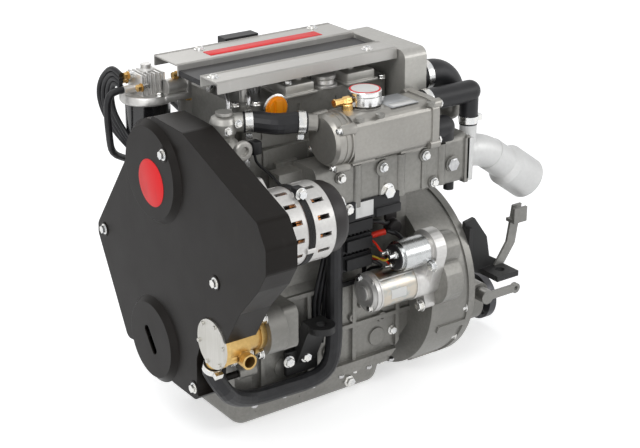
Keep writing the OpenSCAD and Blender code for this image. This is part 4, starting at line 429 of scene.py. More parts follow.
@dataclass(frozen=True)
class Brushed:
    """Metal brushed or turned along one axis."""

    name: str
    colour: Colour
    shade: Colour
    along: Place = (0.02, 1.0, 1.0)
    roughness: float = 0.3
    scale: float = 900.0
    strength: float = 0.16
    stain_scale: float = 14.0
    stain_span: Pair = (0.3, 0.7)
    line_depth: float = 0.0003
    edge_r: float = 0.0008

    def make(self) -> bpy.types.Material:
        """Builds the material.

        Returns:
            The material.
        """
        sheet = Sheet(self.name)
        lines = sheet.noise(self.scale, 2.0, sheet.stretched(*self.along))
        stain = lines * 0.5 + sheet.noise(self.stain_scale, 4.0) * 0.5
        sheet.link("Base Color", sheet.blend(stain.step(*self.stain_span), self.shade, self.colour))
        sheet.link("Roughness", self.roughness - 0.08 + 0.18 * lines)
        sheet.fix(Metallic=1.0)
        sheet.relief(lines, self.strength, self.line_depth, self.edge_r)
        return sheet.material


@dataclass(frozen=True)
class Rubber:
    """Black hose rubber with a faint cloth mark and a bloom."""

    name: str
    colour: Colour = (0.012, 0.012, 0.0135)
    bloom: Colour = (0.03, 0.03, 0.033)
    roughness: float = 0.42
    shine: float = 0.35
    haze_scale: float = 28.0
    haze_span: Pair = (0.4, 0.8)
    cloth_scale: float = 1400.0
    cloth: float = 0.12
    cloth_depth: float = 0.0003

    def make(self) -> bpy.types.Material:
        """Builds the material.

        Returns:
            The material.
        """
        sheet = Sheet(self.name)
        haze = sheet.noise(self.haze_scale, 5.0)
        sheet.link("Base Color", sheet.blend(haze.step(*self.haze_span), self.colour, self.bloom))
        sheet.link("Roughness", self.roughness - 0.06 + 0.2 * haze)
        sheet.fix(Specular_IOR_Level=self.shine)
        sheet.relief(sheet.grain(self.cloth_scale), self.cloth, self.cloth_depth)
        return sheet.material


@dataclass(frozen=True)
class Plated:
    """Zinc or chrome plate with faint coloured bloom."""

    name: str
    colour: Colour = (0.72, 0.71, 0.68)
    bloom: Colour = (0.62, 0.63, 0.64)
    roughness: float = 0.24
    bloom_scale: float = 90.0
    bloom_span: Pair = (0.35, 0.7)
    skin_scale: float = 500.0
    skin: float = 0.08
    skin_depth: float = 0.0002
    edge_r: float = 0.0006

    def make(self) -> bpy.types.Material:
        """Builds the material.

        Returns:
            The material.
        """
        sheet = Sheet(self.name)
        tint = sheet.noise(self.bloom_scale, 3.0).step(*self.bloom_span)
        sheet.link("Base Color", sheet.blend(tint, self.colour, self.bloom))
        sheet.link("Roughness", self.roughness - 0.05 + 0.16 * sheet.noise(240.0, 2.0))
        sheet.fix(Metallic=1.0)
        sheet.relief(sheet.noise(self.skin_scale, 2.0), self.skin, self.skin_depth, self.edge_r)
        return sheet.material


class Palette:
    """Every finish on the engine, each made once."""

    def __init__(self) -> None:
        """Makes the materials."""
        finishes = [
            Casting("engine_paint", (0.29, 0.283, 0.262), (0.215, 0.21, 0.194), 0.5, 0.4),
            Casting("cast_aluminium", (0.68, 0.67, 0.65), (0.56, 0.55, 0.535), 0.7, 0.38, 0.25, 900.0),
            # On the air silencer this paler casting is painted light; on the other parts that wear it, it is
            # their own paler colour.
            Casting("pale_casting", (0.5, 0.49, 0.455), (0.42, 0.41, 0.385), 0.5, 0.38, 0.2, 800.0),
            Casting("exchanger_silver", (0.36, 0.347, 0.32), (0.3, 0.29, 0.268), 0.6, 0.34, 0.15, 800.0),
            Casting("lever_grey", (0.26, 0.256, 0.24), (0.2, 0.196, 0.184), 0.6, 0.4, 0.25, 600.0),
            Casting("elbow_silver", (0.72, 0.72, 0.71), (0.66, 0.66, 0.65), 0.3, 0.45, 0.15, 1100.0),
            Casting("pump_brass", (0.72, 0.5, 0.2), (0.5, 0.33, 0.12), 0.9, 0.36, 0.3, 800.0),
            Casting("dark_steel", (0.12, 0.12, 0.125), (0.06, 0.06, 0.065), 0.8, 0.4, 0.15, 600.0),
            Coated("rail_aluminium", (0.45, 0.44, 0.42), (0.5, 0.49, 0.47), 0.42, 0.75, 700.0, 0.12),
            Brushed("machined_steel", (0.58, 0.58, 0.58), (0.42, 0.42, 0.43), (1.0, 0.05, 0.05), 0.26),
            Brushed("plate_steel", (0.58, 0.57, 0.54), (0.48, 0.47, 0.435), (1.0, 0.6, 0.03), 0.4, 400.0),
            Coated("cover_black", (0.009, 0.0072, 0.006), (0.013, 0.0108, 0.009), 0.38, shine=0.14),
            Coated("channel_black", (0.016, 0.016, 0.018), (0.026, 0.026, 0.03), 0.42, shine=0.3),
            Coated("connector_black", (0.012, 0.012, 0.013), (0.022, 0.022, 0.024), 0.45, shine=0.3),
            Coated("filter_black", (0.008, 0.008, 0.009), (0.02, 0.02, 0.02), 0.16, 0.0, 120.0, 0.05, 0.5),
            Coated("dark_plastic", (0.022, 0.019, 0.019), (0.036, 0.033, 0.033), 0.4, shine=0.3),
            Coated("foot_black", (0.02, 0.02, 0.02), (0.034, 0.034, 0.034), 0.48, shine=0.3),
            Coated("cap_orange", (0.9, 0.3, 0.005), (0.75, 0.24, 0.01), 0.3),
            Coated("badge_red", (0.85, 0.008, 0.012), (0.78, 0.01, 0.014), 0.5, 0.0, 90.0, 0.03),
            Coated("label_white", (0.78, 0.78, 0.76), (0.68, 0.68, 0.66), 0.4),
            Coated("label_grey", (0.42, 0.43, 0.44), (0.36, 0.37, 0.38), 0.35),
            Coated("wire_red", (0.75, 0.03, 0.01), (0.6, 0.05, 0.03), 0.4),
            Coated("wire_yellow", (0.72, 0.5, 0.05), (0.6, 0.42, 0.06), 0.4),
            Rubber("hose_rubber"),
            Plated("zinc_steel"),
            Plated("solenoid_silver", (0.52, 0.53, 0.53), (0.46, 0.47, 0.47), 0.22),
            Plated("cap_chrome", (0.8, 0.8, 0.79), (0.66, 0.66, 0.66), 0.16),
            Plated("copper_wire", (0.62, 0.27, 0.1), (0.42, 0.17, 0.07), 0.34),
            Plated("zinc_gold", (0.52, 0.47, 0.4), (0.4, 0.42, 0.41), 0.28),
            Plated("fitting_brass", (0.78, 0.52, 0.2), (0.62, 0.38, 0.13), 0.25),
        ]
        self.materials: dict[str, bpy.types.Material] = {finish.name: finish.make() for finish in finishes}

    def dress(self, thing: bpy.types.Object, name: str) -> None:
        """Gives an object one finish.

        Args:
            thing: The object.
            name: The finish's name.
        """
        thing.data.materials.clear()
        thing.data.materials.append(self.materials[name])


# Meshes


class Shape:
    """A mesh that grows piece by piece, from places and sizes on the engine in millimetres."""

    patch_steps: int = 10
    patch_t: float = 0.5
    line_steps: int = 5
    # The most that an edge's rounding takes of a box's shortest side.
    round_share: float = 0.45
    # How nearly a tube may start along Z before it is turned from X instead.
    steep: float = 0.95
    round_sides: int = 24
    hex_sides: int = 6
    hex_rake: float = 0.3
    # Radius and height as shares of the thread's radius.
    washer_shares: Pairs = ((0, 0), (2.1, 0), (2.2, 0.15), (2.1, 0.35), (0, 0.35))
    round_shares: Pairs = ((1.5, 0.35), (1.5, 1.9), (1.35, 2.1), (0.85, 2.1), (0.8, 1.2), (0, 1.2))
    hex_shares: Pairs = ((1.72, 0.35), (1.72, 1.35), (1.5, 1.6), (0, 1.6))

    def __init__(self) -> None:
        """Starts empty."""
        self.mesh = bmesh.new()

    def lathe(self, profile: Pairs, place: Place, facing: Facing, sides: int = 40,
              rake: float = 0.0) -> "Shape":
        """Turns a profile round an axis.

        Args:
            profile: Radius and height pairs, from the axis outward and back.
            place: Where height 0 lies.
            facing: Where the axis points.
            sides: Sides round the axis.
            rake: Angle that the first side starts at.

        Returns:
            This shape.
        """
        turns = [rake + math.tau * k / sides for k in range(sides)]
        rings: list[list[bmesh.types.BMVert]] = []
        for r, h in profile:
            rings.append([self.mesh.verts.new((r * MM * math.cos(a), r * MM * math.sin(a), h * MM))
                          for a in (turns if r else turns[:1])])
        for low, high in zip(rings, rings[1:]):
            for k in range(sides):
                corners = [low[k % len(low)], low[(k + 1) % len(low)], high[(k + 1) % len(high)],
                           high[k % len(high)]]
                unique = list(dict.fromkeys(corners))
                if len(unique) > 2:
                    self.mesh.faces.new(unique)
        matrix = Matrix.Translation(spot(*place)) @ facing.turn()
        bmesh.ops.transform(self.mesh, matrix=matrix, verts=[v for ring in rings for v in ring])
        return self

    def rod(self, r: float, span: Pair, place: Place, facing: Facing, sides: int) -> "Shape":
        """Adds a plain bar with flat ends.

        Args:
            r: Its radius.
            span: The heights of its ends.
            place: Where height 0 lies.
            facing: Where its axis points.
            sides: Sides round it.

        Returns:
            This shape.
        """
        low, high = span
        return self.lathe([(0, low), (r, low), (r, high), (0, high)], place, facing, sides)

    def block(self, low: Place, high: Place, round_r: float = 1.0) -> "Shape":
        """Adds a box with rounded edges.

        Args:
            low: Its lowest corner.
            high: Its highest corner.
            round_r: Radius of the edges.

        Returns:
            This shape.
        """
        start, end = spot(*low), spot(*high)
        made = bmesh.ops.create_cube(self.mesh, size=1.0)["verts"]
        size, middle = end - start, (end + start) / 2
        matrix = Matrix.Translation(middle) @ Matrix.Diagonal((*size, 1.0))
        bmesh.ops.transform(self.mesh, matrix=matrix, verts=made)
        edges = list(dict.fromkeys(e for v in made for e in v.link_edges))
        width = min(round_r * MM, min(size) * self.round_share)
        bmesh.ops.bevel(self.mesh, geom=edges, offset=width, segments=2, profile=0.5, affect="EDGES")
        return self

    def wrap(self, r: float, xs: Pair, angles: Pair, axis: Pair) -> "Shape":
        """Adds a thin patch that hugs a cylinder along X.

        Args:
            r: Radius of its outer face.
            xs: Where it starts and ends.
            angles: Its first and last angle in degrees, from +Y towards +Z.
            axis: The cylinder's place across and up.

        Returns:
            This shape.
        """
        steps, faces = self.patch_steps, self.mesh.faces
        turns = [angles[0] + (angles[1] - angles[0]) * k / steps for k in range(steps + 1)]
        (low_in, low_out), (high_in, high_out) = [
            [[self.mesh.verts.new(spot(*place)) for place in round_places(x, axis, q, turns)]
             for q in (r - self.patch_t, r)] for x in xs]
        for k in range(steps):
            faces.new((low_out[k], low_out[k + 1], high_out[k + 1], high_out[k]))
            faces.new((low_in[k + 1], low_in[k], high_in[k], high_in[k + 1]))
            faces.new((low_in[k], low_in[k + 1], low_out[k + 1], low_out[k]))
            faces.new((high_in[k + 1], high_in[k], high_out[k], high_out[k + 1]))
        for k in (0, steps):
            faces.new((low_in[k], low_out[k], high_out[k], high_in[k]))
        return self

    def tube(self, points: Places, r: float, sides: int = 12) -> "Shape":
        """Sweeps a round tube along a smooth line.

        Args:
            points: The line's points.
            r: The tube's radius.
            sides: Sides round the tube.

        Returns:
            This shape.
        """
        line = smooth_line([spot(*point) for point in points], self.line_steps)
        turns = [math.tau * k / sides for k in range(sides)]
        side = Vector((0.0, 0.0, 1.0))
        rings = []
        for i, point in enumerate(line):
            ahead = (line[min(i + 1, len(line) - 1)] - line[max(i - 1, 0)]).normalized()
            if abs(ahead.dot(side)) > self.steep and i == 0:
                side = Vector((1.0, 0.0, 0.0))
            side = (side - ahead * ahead.dot(side)).normalized()
            other = ahead.cross(side)
            rings.append([self.mesh.verts.new(point + (side * math.cos(a) + other * math.sin(a)) * r * MM)
                          for a in turns])
        for low, high in zip(rings, rings[1:]):
            for k in range(sides):
                self.mesh.faces.new((low[k], low[(k + 1) % sides], high[(k + 1) % sides], high[k]))
        self.mesh.faces.new(list(reversed(rings[0])))
        self.mesh.faces.new(rings[-1])
        return self

    def bolt(self, place: Place, facing: Facing, r: float = 4.0, socket: bool = False) -> "Shape":
        """Adds a screw's head on its washer, hexagonal or round with a socket.

        Args:
            place: Where the washer sits.
            facing: Where the head faces.
            r: Radius of the thread.
            socket: Whether the head is round with a socket.

        Returns:
            This shape.
        """
        self.lathe([(a * r, b * r) for a, b in self.washer_shares], place, facing, self.round_sides)
        if socket:
            return self.lathe([(a * r, b * r) for a, b in self.round_shares], place, facing, self.round_sides)
        profile = [(a * r, b * r) for a, b in self.hex_shares]
        return self.lathe(profile, place, facing, self.hex_sides, self.hex_rake)

    def finish(self, name: str) -> bpy.types.Object:
        """Turns the mesh into an object.

        Args:
            name: The object's name.

        Returns:
            The object, linked to the scene.
        """
        bmesh.ops.recalc_face_normals(self.mesh, faces=self.mesh.faces[:])
        data = bpy.data.meshes.new(name)
        self.mesh.to_mesh(data)
        self.mesh.free()
        soften(data)
        thing = bpy.data.objects.new(name, data)
        bpy.context.scene.collection.objects.link(thing)
        return thing


def soften(data: bpy.types.Mesh) -> None:
    """Shades a mesh smooth, apart from its sharp edges.

    Args:
        data: The mesh.
    """
    data.shade_smooth()
    data.set_sharp_from_angle(angle=SMOOTH_ANGLE)


def smooth_line(points: Sequence[Vector], steps: int) -> list[Vector]:
    """Runs a smooth line through points.

    Args:
        points: The points.
        steps: Steps between neighbours.

    Returns:
        The line's points.
    """
    line: list[Vector] = []
    for i in range(len(points) - 1):
        start, end = points[i], points[i + 1]
        reach = (end - start).length
        leave = (end - points[max(i - 1, 0)]).normalized() * reach
        arrive = (points[min(i + 2, len(points) - 1)] - start).normalized() * reach
        for k in range(steps):
            t = k / steps
            ease = t * t * (3 - 2 * t)
            line.append(start * (1 - ease) + end * ease + leave * t * (1 - t) ** 2 - arrive * t * t * (1 - t))
    return [*line, points[-1]]


# The frame's own nodes


@dataclass
class NodeFinishes:
    """Which finish each solid of the frame wears."""

    palette: Palette
    other: dict[str, str] = field(default_factory=lambda: {
        "exhaust_elbow": "elbow_silver", "engine_feet": "foot_black", "heat_exchanger": "exchanger_silver",
        # The air silencer wears the pale casting as painted light: its paler colour stands in for light on
        # its near side, which sits in shade between the rails and the heat exchanger.
        "coolant_elbow": "pale_casting", "air_silencer": "pale_casting", "shift_lever": "lever_grey",
        "cable_bracket": "lever_grey", "starter_solenoid": "solenoid_silver",
    })

    def dress(self) -> None:
        """Dresses every node in its record slot's finish, or in the one named here."""
        slots = {part["node"]: part["material_slot"] for part in frame["record"]["subparts"]}
        for name, thing in frame["nodes"].items():
            self.palette.dress(thing, self.other.get(name, slots[name]))
            soften(thing.data)
            LOG.info("dressed %s", name)


# Details


@dataclass
class Trim:
    """Small pieces of one part of the engine, which ride on one body of the frame."""

    palette: Palette
    body: str = "engine"

    def keep(self, shape: Shape, name: str, finish: str) -> bpy.types.Object:
        """Finishes a shape, dresses it and hangs it on the body.

        Args:
            shape: The shape.
            name: The piece's name.
            finish: The name of its finish.

        Returns:
            The piece.
        """
        thing = shape.finish(name)
        self.palette.dress(thing, finish)
        finish in SLOTS
        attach(thing, self.body)
        LOG.info("made %s", name)
        return thing

    def turned(self, name: str, finish: str, profile: Pairs, place: Place, facing: Facing,
               sides: int = 40) -> bpy.types.Object:
        """Makes a piece of one turned profile.

        Args:
            name: The piece's name.
            finish: The name of its finish.
            profile: Radius and height pairs, from the axis outward and back.
            place: Where height 0 lies.
            facing: Where the axis points.
            sides: Sides round the axis.

        Returns:
            The piece.
        """
        return self.keep(Shape().lathe(profile, place, facing, sides), name, finish)

    def slab(self, name: str, finish: str, low: Place, high: Place, round_r: float) -> None:
        """Makes a piece of one box with rounded edges.

        Args:
            name: The piece's name.
            finish: The name of its finish.
            low: Its lowest corner.
            high: Its highest corner.
            round_r: Radius of the edges.
        """
        self.keep(Shape().block(low, high, round_r), name, finish)

    def bolts(self, places: Places, facing: Facing, name: str, r: float = 4.0, socket: bool = False) -> None:
        """Adds a set of equal zinc screws as one piece.

        Args:
            places: Where their washers sit.
            facing: Where their heads face.
            name: The piece's name.
            r: Radius of their threads.
            socket: Whether their heads are round with sockets.
        """
        shape = Shape()
        for place in places:
            shape.bolt(place, facing, r, socket)
        self.keep(shape, name, "zinc_steel")


@dataclass
class BeltCoverTrim(Trim):
    """Badge and washers of the belt cover."""

    badge_at: Place = (-10.0, -26.0, 286.0)
    badge_r: float = 39.0
    badge_t: float = 0.7
    screws_at: Places = ((-10.0, -68.0, 345.5), (0.0, 164.0, 141.0), (0.0, -196.0, 174.0),
                         (0.0, -121.0, -40.0))

    def build(self) -> None:
        """Makes the plain red badge and the washers of the cover's screws."""
        r, t = self.badge_r, self.badge_t
        profile = [(0, 0), (r, 0), (r, 0.4), (r - 0.5, t), (0, t)]
        self.turned("cover_badge", "badge_red", profile, self.badge_at, Facing.FRONT, 72)
        rings = Shape()
        profile = [(8.0, 0), (12.5, 0), (12.5, 0.9), (11.0, 1.4), (8.0, 1.4), (8.0, 0)]
        for place in self.screws_at:
            rings.lathe(profile, place, Facing.FRONT, 32)
        self.keep(rings, "cover_washers", "cover_black")


@dataclass
class RailTrim(Trim):
    """Ridges, plain red bar and screws of the top rails."""

    top: float = 451.5
    near: Pair = (-97.0, -45.0)
    far: Pair = (23.0, 100.0)
    span: Pair = (74.0, 422.0)
    bar_x: Pair = (146.0, 368.0)
    bar_y: Pair = (40.0, 66.0)
    bar_t: float = 0.6
    edge_r: float = 0.4
    screws_at: Pairs = ((151.0, 84.0), (86.5, -64.0), (378.7, 86.0), (376.0, -75.0))

    def build(self) -> None:
        """Makes the bar, the ridges and the screws."""
        top, (start, end) = self.top, self.span
        low, high = zip(self.bar_x, self.bar_y)
        self.slab("rail_red_bar", "badge_red", (*low, top), (*high, top + self.bar_t), self.edge_r)
        ridges = Shape()
        for low, high in (self.near, self.far):
            for y in (low + 1.0, low + 5.0, high - 7.0, high - 3.0):
                ridges.block((start + 1, y, top - 0.2), (end - 1, y + 1.6, top + 0.7), self.edge_r)
        self.keep(ridges, "rail_ridges", "rail_aluminium")
        screws = Shape()
        profile = [(0, 0), (9.5, 0), (9.5, 0.8), (7.2, 1.2), (6.8, 3.4), (5.6, 4.2), (3.4, 4.2), (3.2, 2),
                   (0, 2)]
        for x, y in self.screws_at:
            screws.lathe(profile, (x, y, top), Facing.UP, 32)
        self.keep(screws, "rail_screws", "zinc_steel")


@dataclass
class RockerTrim(Trim):
    """What shows between the rails and the heat exchanger on top of the rocker cover."""

    top: float = 400.5
    box_xs: Pair = (208.0, 330.0)
    injector_xs: tuple[float, ...] = (130.0, 168.0, 236.0)
    # Back, across and up from the cover's top.
    bolts_at: Places = ((120.0, -72.0, 0.0), (150.0, -86.0, 0.0), (282.0, -30.0, 0.0), (220.0, -72.0, 19.0),
                        (252.0, -34.0, 19.0), (400.0, -84.0, 0.0))

    def build(self) -> None:
        """Makes the cast boxes, the breather, the pipes and the bolts."""
        top = self.top
        boxes = Shape()
        for x in self.box_xs:
            boxes.block((x, -84, top - 1), (x + 56, -22, top + 19), 3.0)
            boxes.block((x - 4, -88, top - 1), (x + 60, -18, top + 4), 1.5)
        self.keep(boxes, "rocker_boxes", "pale_casting")
        profile = [(0, 0), (22, 0), (22, 4), (17, 6), (16, 12), (19, 14), (19, 19), (15, 22), (0, 23)]
        self.turned("breather_dome", "cast_aluminium", profile, (298, -62, top - 0.5), Facing.UP)
        pipes, nuts = Shape(), Shape()
        for k, x in enumerate(self.injector_xs):
            pipes.tube([(x, 20, top + 1), (x, 10, top + 14), (x - 6, -30, top + 16 + 2 * k),
                        (x - 22, -70, top + 12), (x - 26, -78, top - 6)], 3.0)
            nuts.lathe([(0, 0), (6.5, 0), (6.5, 7), (5.2, 8.5), (0, 8.5)], (x, 20, top - 0.5), Facing.UP, 6)
            nuts.rod(5.5, (0, 6), (x - 26, -78, top - 5), Facing.UP, 6)
        self.keep(pipes, "injector_pipes", "machined_steel")
        self.keep(nuts, "injector_nuts", "zinc_steel")
        self.bolts([(x, y, top + lift) for x, y, lift in self.bolts_at], Facing.UP, "rocker_bolts", 3.4)
        profile = [(14, 0), (23, 0), (23, 2.0), (21, 3.0), (14, 3.0), (14, 0)]
        self.turned("filler_ring", "zinc_steel", profile, (187, -84.5, 388.5), Facing.NEAR)


@dataclass
class ExchangerTrim(Trim):
    """Rings, lugs, brass fitting, blank label, pads and bolts of the heat exchanger."""

    axis: Pair = (-170.0, 350.5)
    r: float = 42.0
    cap_x: float = 226.0
    lugs_at: Pairs = ((-37.0, 25.0), (36.0, 27.0), (38.0, -25.0), (-20.0, -41.0))
    pads_at: Pairs = ((262.0, -34.0), (300.0, -37.0), (402.0, -36.0))
    pads_z: float = 385.0
    end_x: float = 427.0
    end_half: float = 31.0

    def build(self) -> None:
        """Makes the pieces on the exchanger."""
        (y, z), half = self.axis, self.end_half
        rings = Shape()
        for x, r in ((246.0, self.r + 2.4), (236.0, self.r + 1.0)):
            rings.lathe([(self.r - 3, 0), (r, 0.4), (r, 3.6), (self.r - 3, 4)], (x, y, z), Facing.BACK, 64)
        self.keep(rings, "exchanger_rings", "exchanger_silver")
        lugs = Shape()
        heads = [(self.cap_x, y + dy, z + dz) for dy, dz in self.lugs_at]
        for place in heads:
            lugs.lathe([(0, 0), (7.4, 0), (8.2, 1.2), (9.4, 22), (9.4, 26), (0, 26)], place, Facing.BACK, 28)
        self.keep(lugs, "exchanger_lugs", "exchanger_silver")
        self.bolts(heads, Facing.FRONT, "exchanger_cap_bolts", 3.0, True)
        brass = Shape()
        brass.lathe([(0, 0), (9.2, 0), (9.2, 9), (8, 10.5), (0, 10.5)], (271, -163, 389.8), Facing.UP, 6, 0.2)
        brass.rod(6.4, (0, 8), (271, -163, 400), Facing.UP, 24)
        profile = [(0, -7), (6.8, -7), (7.6, -5), (7.6, 6), (5.6, 8), (5.6, 21), (6.6, 22), (6.6, 25),
                   (0, 25)]
        brass.lathe(profile, (270, -163, 405), Facing.FRONT, 6, 0.3)
        self.keep(brass, "exchanger_fitting", "fitting_brass")
        self.slab("exchanger_label", "label_grey", (333, -199, 390.4), (388, -142, 390.95), 0.3)
        self.slab("exchanger_label_strip", "label_white", (338, -197, 390.9), (384, -181, 391.3), 0.2)
        profile = [(0, 0), (7, 0), (7.6, 6), (0, 6)]
        for k, (x, dy) in enumerate(self.pads_at):
            place = (x, y + dy - 4, self.pads_z - 0.02 * k)
            self.turned(f"exchanger_pad_{k + 1}", "engine_paint", profile, place, Facing.UP, 24)
        ends = [(self.end_x, y + side * half, z + lift * half) for lift in (1, -1) for side in (-1, 1)]
        self.bolts(ends, Facing.BACK, "exchanger_end_bolts", 3.6)


@dataclass
class CapTrim(Trim):
    """Lid of the pressure cap with a blank face."""

    body: str = "coolant_cap"
    place: Place = (308.0, -160.0, 409.0)

    def build(self) -> None:
        """Makes the lid, its red ring and its white face."""
        for name, finish, profile in (
                ("cap_lid", "cap_chrome", [(0, 0), (26.5, 0), (27.3, 1.2), (27.3, 7.0), (26, 8.6), (0, 8.6)]),
                ("cap_ring", "badge_red", [(20, 8.5), (25.5, 8.5), (25.4, 9.2), (20, 9.2), (20, 8.5)]),
                ("cap_face", "label_white", [(0, 8.5), (22.6, 8.5), (22.6, 9.5), (0, 9.5)])):
            self.turned(name, finish, profile, self.place, Facing.UP, 64)


@dataclass
class ManifoldTrim(Trim):
    """Bosses, bolts and the blank plate of the exhaust manifold's near face."""

    face_y: float = -165.0
    # Back, up and radius.
    bosses: Places = ((341.6, 279.9, 11.0), (429.9, 282.1, 11.0), (449.4, 230.6, 10.0), (256.3, 279.5, 10.0))

    def build(self) -> None:
        """Makes the pieces on the manifold."""
        y = self.face_y
        pads = Shape()
        for x, z, r in self.bosses:
            pads.lathe([(0, 0), (r + 1.2, 0), (r, 4), (0, 4)], (x, y + 0.6, z), Facing.NEAR, 32)
        pads.block((335, y - 2.2, 222), (345, y + 1, 276), 2.0)
        pads.block((424, y - 2.2, 222), (433, y + 1, 278), 2.0)
        pads.block((520, y - 3, 219), (528, y + 4, 298), 2.0)
        self.keep(pads, "manifold_bosses", "engine_paint")
        self.bolts([(x, y - 4.2, z) for x, z, _ in self.bosses], Facing.NEAR, "manifold_bolts", 3.8)
        profile = [(0, 0), (12, 0), (12, 3), (10, 4), (0, 4)]
        self.turned("manifold_plug", "machined_steel", profile, (489.7, y - 4, 254), Facing.NEAR, 6)
        plate = Shape().block((262, -168.4, 198), (378, -165, 232), 1.0)
        plate.block((326, -172, 196), (378, -150, 212), 2.0)
        self.keep(plate, "manifold_plate", "connector_black")
        self.slab("plate_label", "label_white", (286, -168.9, 202), (322, -168.2, 229), 0.2)
        self.bolts([(271.0, -168.4, 222.0)], Facing.NEAR, "plate_bolts", 4.4)


@dataclass
class ThermostatTrim(Trim):
    """Plug, tube, sensor and bolts of the thermostat elbow."""

    def build(self) -> None:
        """Makes the pieces on the elbow."""
        profile = [(0, 0), (15, 0), (16, 1.5), (16, 8), (14, 10), (8, 10), (7, 5), (0, 5)]
        neck = Shape().lathe(profile, (92, -131, 350), Facing.NEAR, 36)
        neck.rod(13.5, (0, 5), (84, -96, 399.5), Facing.UP, 32)
        self.keep(neck, "elbow_plug", "pale_casting")
        stem = Shape().tube([(96, -114, 346), (104, -118, 340), (106, -120, 324)], 7.0, 16)
        stem.rod(9, (0, 9), (106, -120, 318), Facing.UP, 6)
        self.keep(stem, "elbow_tube", "machined_steel")
        self.bolts([(76.0, -120.0, 380.0), (100.0, -112.0, 386.0)], Facing.NEAR, "elbow_bolts", 3.2)
        plug = Shape().block((113, -134, 336), (130, -116, 358), 3.0)
        plug.tube([(121, -124, 336), (124, -126, 322), (146, -128, 298), (170, -126, 272)], 2.2)
        self.keep(plug, "temperature_plug", "connector_black")


@dataclass
class AlternatorTrim(Trim):
    """Stator band, bolts, ear and rear cover of the alternator."""

    axis: Pair = (-235.0, 255.5)
    sheets: int = 5
    sheet_x: float = 104.1
    sheet_pitch: float = 2.4
    tie_angles: tuple[float, ...] = (20.0, 110.0, 200.0, 290.0)

    def build(self) -> None:
        """Makes the pieces on the alternator."""
        y, z = self.axis
        band = Shape()
        profile = [(60, 0), (63.4, 0), (63.4, 1.7), (62.6, 1.9), (62.6, 2.4), (60, 2.4)]
        for k in range(self.sheets):
            band.lathe(profile, (self.sheet_x + self.sheet_pitch * k, y, z), Facing.BACK, 72)
        self.keep(band, "stator_band", "connector_black")
        ties = Shape()
        for place in round_places(101.0, self.axis, 60.5, self.tie_angles):
            ties.rod(5.5, (0, 16), place, Facing.BACK, 20)
        self.keep(ties, "alternator_ties", "cast_aluminium")
        heads = round_places(66.0, self.axis, 52, self.tie_angles)
        self.bolts(heads, Facing.FRONT, "alternator_bolts", 3.2)
        profile = [(40, -1.5), (55, -1.5), (57, 1.0), (57, 22), (52, 30.5), (0, 30.5)]
        self.turned("alternator_cover", "dark_plastic", profile, (154, y, z), Facing.BACK, 64)
        self.slab("alternator_ear", "connector_black", (102, y - 32, z + 50), (118, y - 14, z + 70), 3.0)
        self.bolts([(110.0, y - 32, z + 61)], Facing.NEAR, "alternator_ear_bolt", 4.6)


@dataclass
class StarterTrim(Trim):
    """Can, blank label, bolts, terminals and wires of the starter."""

    axis: Pair = (-150.9, 53.15)
    solenoid: Pair = (-167.9, 112.65)
    # Across and up from the solenoid's axis, and the nut's radius.
    terminals: Places = ((-10.0, 9.0, 6.5), (11.0, 7.0, 6.5), (0.0, -12.0, 4.5))

    def build(self) -> None:
        """Makes the pieces on the starter and its solenoid."""
        y, z = self.axis
        profile = [(31, 0), (32.7, 0), (32.7, 76), (31, 76)]
        self.turned("starter_can", "zinc_gold", profile, (333, y, z), Facing.BACK, 72)
        rings = Shape()
        for x in (331.0, 407.0):
            rings.lathe([(31, 0), (34.6, 0.3), (34.6, 3.7), (31, 4)], (x, y, z), Facing.BACK, 72)
        self.keep(rings, "starter_rings", "cast_aluminium")
        patch = Shape().wrap(33.1, (352.0, 384.0), (165.0, 195.0), (y, z))
        self.keep(patch, "starter_label", "label_white")
        profile = [(0, 0), (12, 0), (13, -2), (13, -4), (9, -5.5), (0, -5.5)]
        self.turned("starter_boss", "cast_aluminium", profile, (319, y, z), Facing.BACK)
        heads = round_places(320.5, self.axis, 27, (55, 235))
        self.bolts(heads, Facing.FRONT, "starter_through_bolts", 3.4)
        self.bolts([(431.0, -166.0, 6.0), (431.0, -196.0, 92.0)], Facing.FRONT, "starter_flange_bolts", 5.2)
        sy, sz = self.solenoid
        profile = [(0, 0), (22.6, 0), (22.6, -2.5), (20, -4), (0, -4)]
        self.turned("solenoid_face", "connector_black", profile, (369, sy, sz), Facing.BACK, 48)
        nuts = Shape()
        for dy, dz, r in self.terminals:
            place = (365, sy + dy, sz + dz)
            nuts.lathe([(0, 0), (r, 0), (r, 4.5), (r - 1, 5.5), (0, 5.5)], place, Facing.FRONT, 6)
            nuts.rod(r - 2.6, (0, 16), place, Facing.FRONT, 16)
        self.keep(nuts, "solenoid_nuts", "zinc_steel")
        boot = Shape().tube([(355, -119, 139), (362, -121, 140), (372, -124, 142), (380, -127, 143)], 5.4, 20)
        self.keep(boot, "cable_boot", "wire_red")
        profile = [(0, 0), (13, 0), (14, 1.5), (14, 16), (12, 19), (0, 20)]
        relay = Shape().lathe(profile, (405, -106, 143), Facing.NEAR, 40)
        relay.block((393, -112, 154), (417, -104, 184), 2.0)
        self.keep(relay, "solenoid_relay", "dark_plastic")
        self._wires()

    def _wires(self) -> None:
        """Runs the wires between the plugs and the solenoid."""
        sy, sz = self.solenoid
        runs = [
            ("wire_red", 1.9, [(346, -121, 138), (353, -132, 132), (352, -150, 124), (354, sy + 11, sz + 7)]),
            ("wire_yellow", 1.7, [(346, -121, 108), (356, -134, 104), (354, -160, 108),
                                  (353, sy - 10, sz + 9)]),
            ("wire_red", 1.7, [(346, -119, 106), (358, -128, 98), (362, -146, 104), (360, sy, sz - 12)]),
            ("connector_black", 3.4, [(346, -124, 170), (362, -134, 168), (378, -126, 158),
                                      (398, -114, 152)]),
            ("connector_black", 3.0, [(346, -126, 100), (360, -140, 92), (366, -132, 84), (360, -108, 70),
                                      (352, -99, 40)]),
            ("connector_black", 3.8, [(384, -128, 144), (394, -140, 140), (392, -160, 134),
                                      (366, sy - 10, sz + 12)]),
        ]
        for k, (finish, r, points) in enumerate(runs):
            self.keep(Shape().tube(points, r), f"starter_wire_{k + 1}", finish)


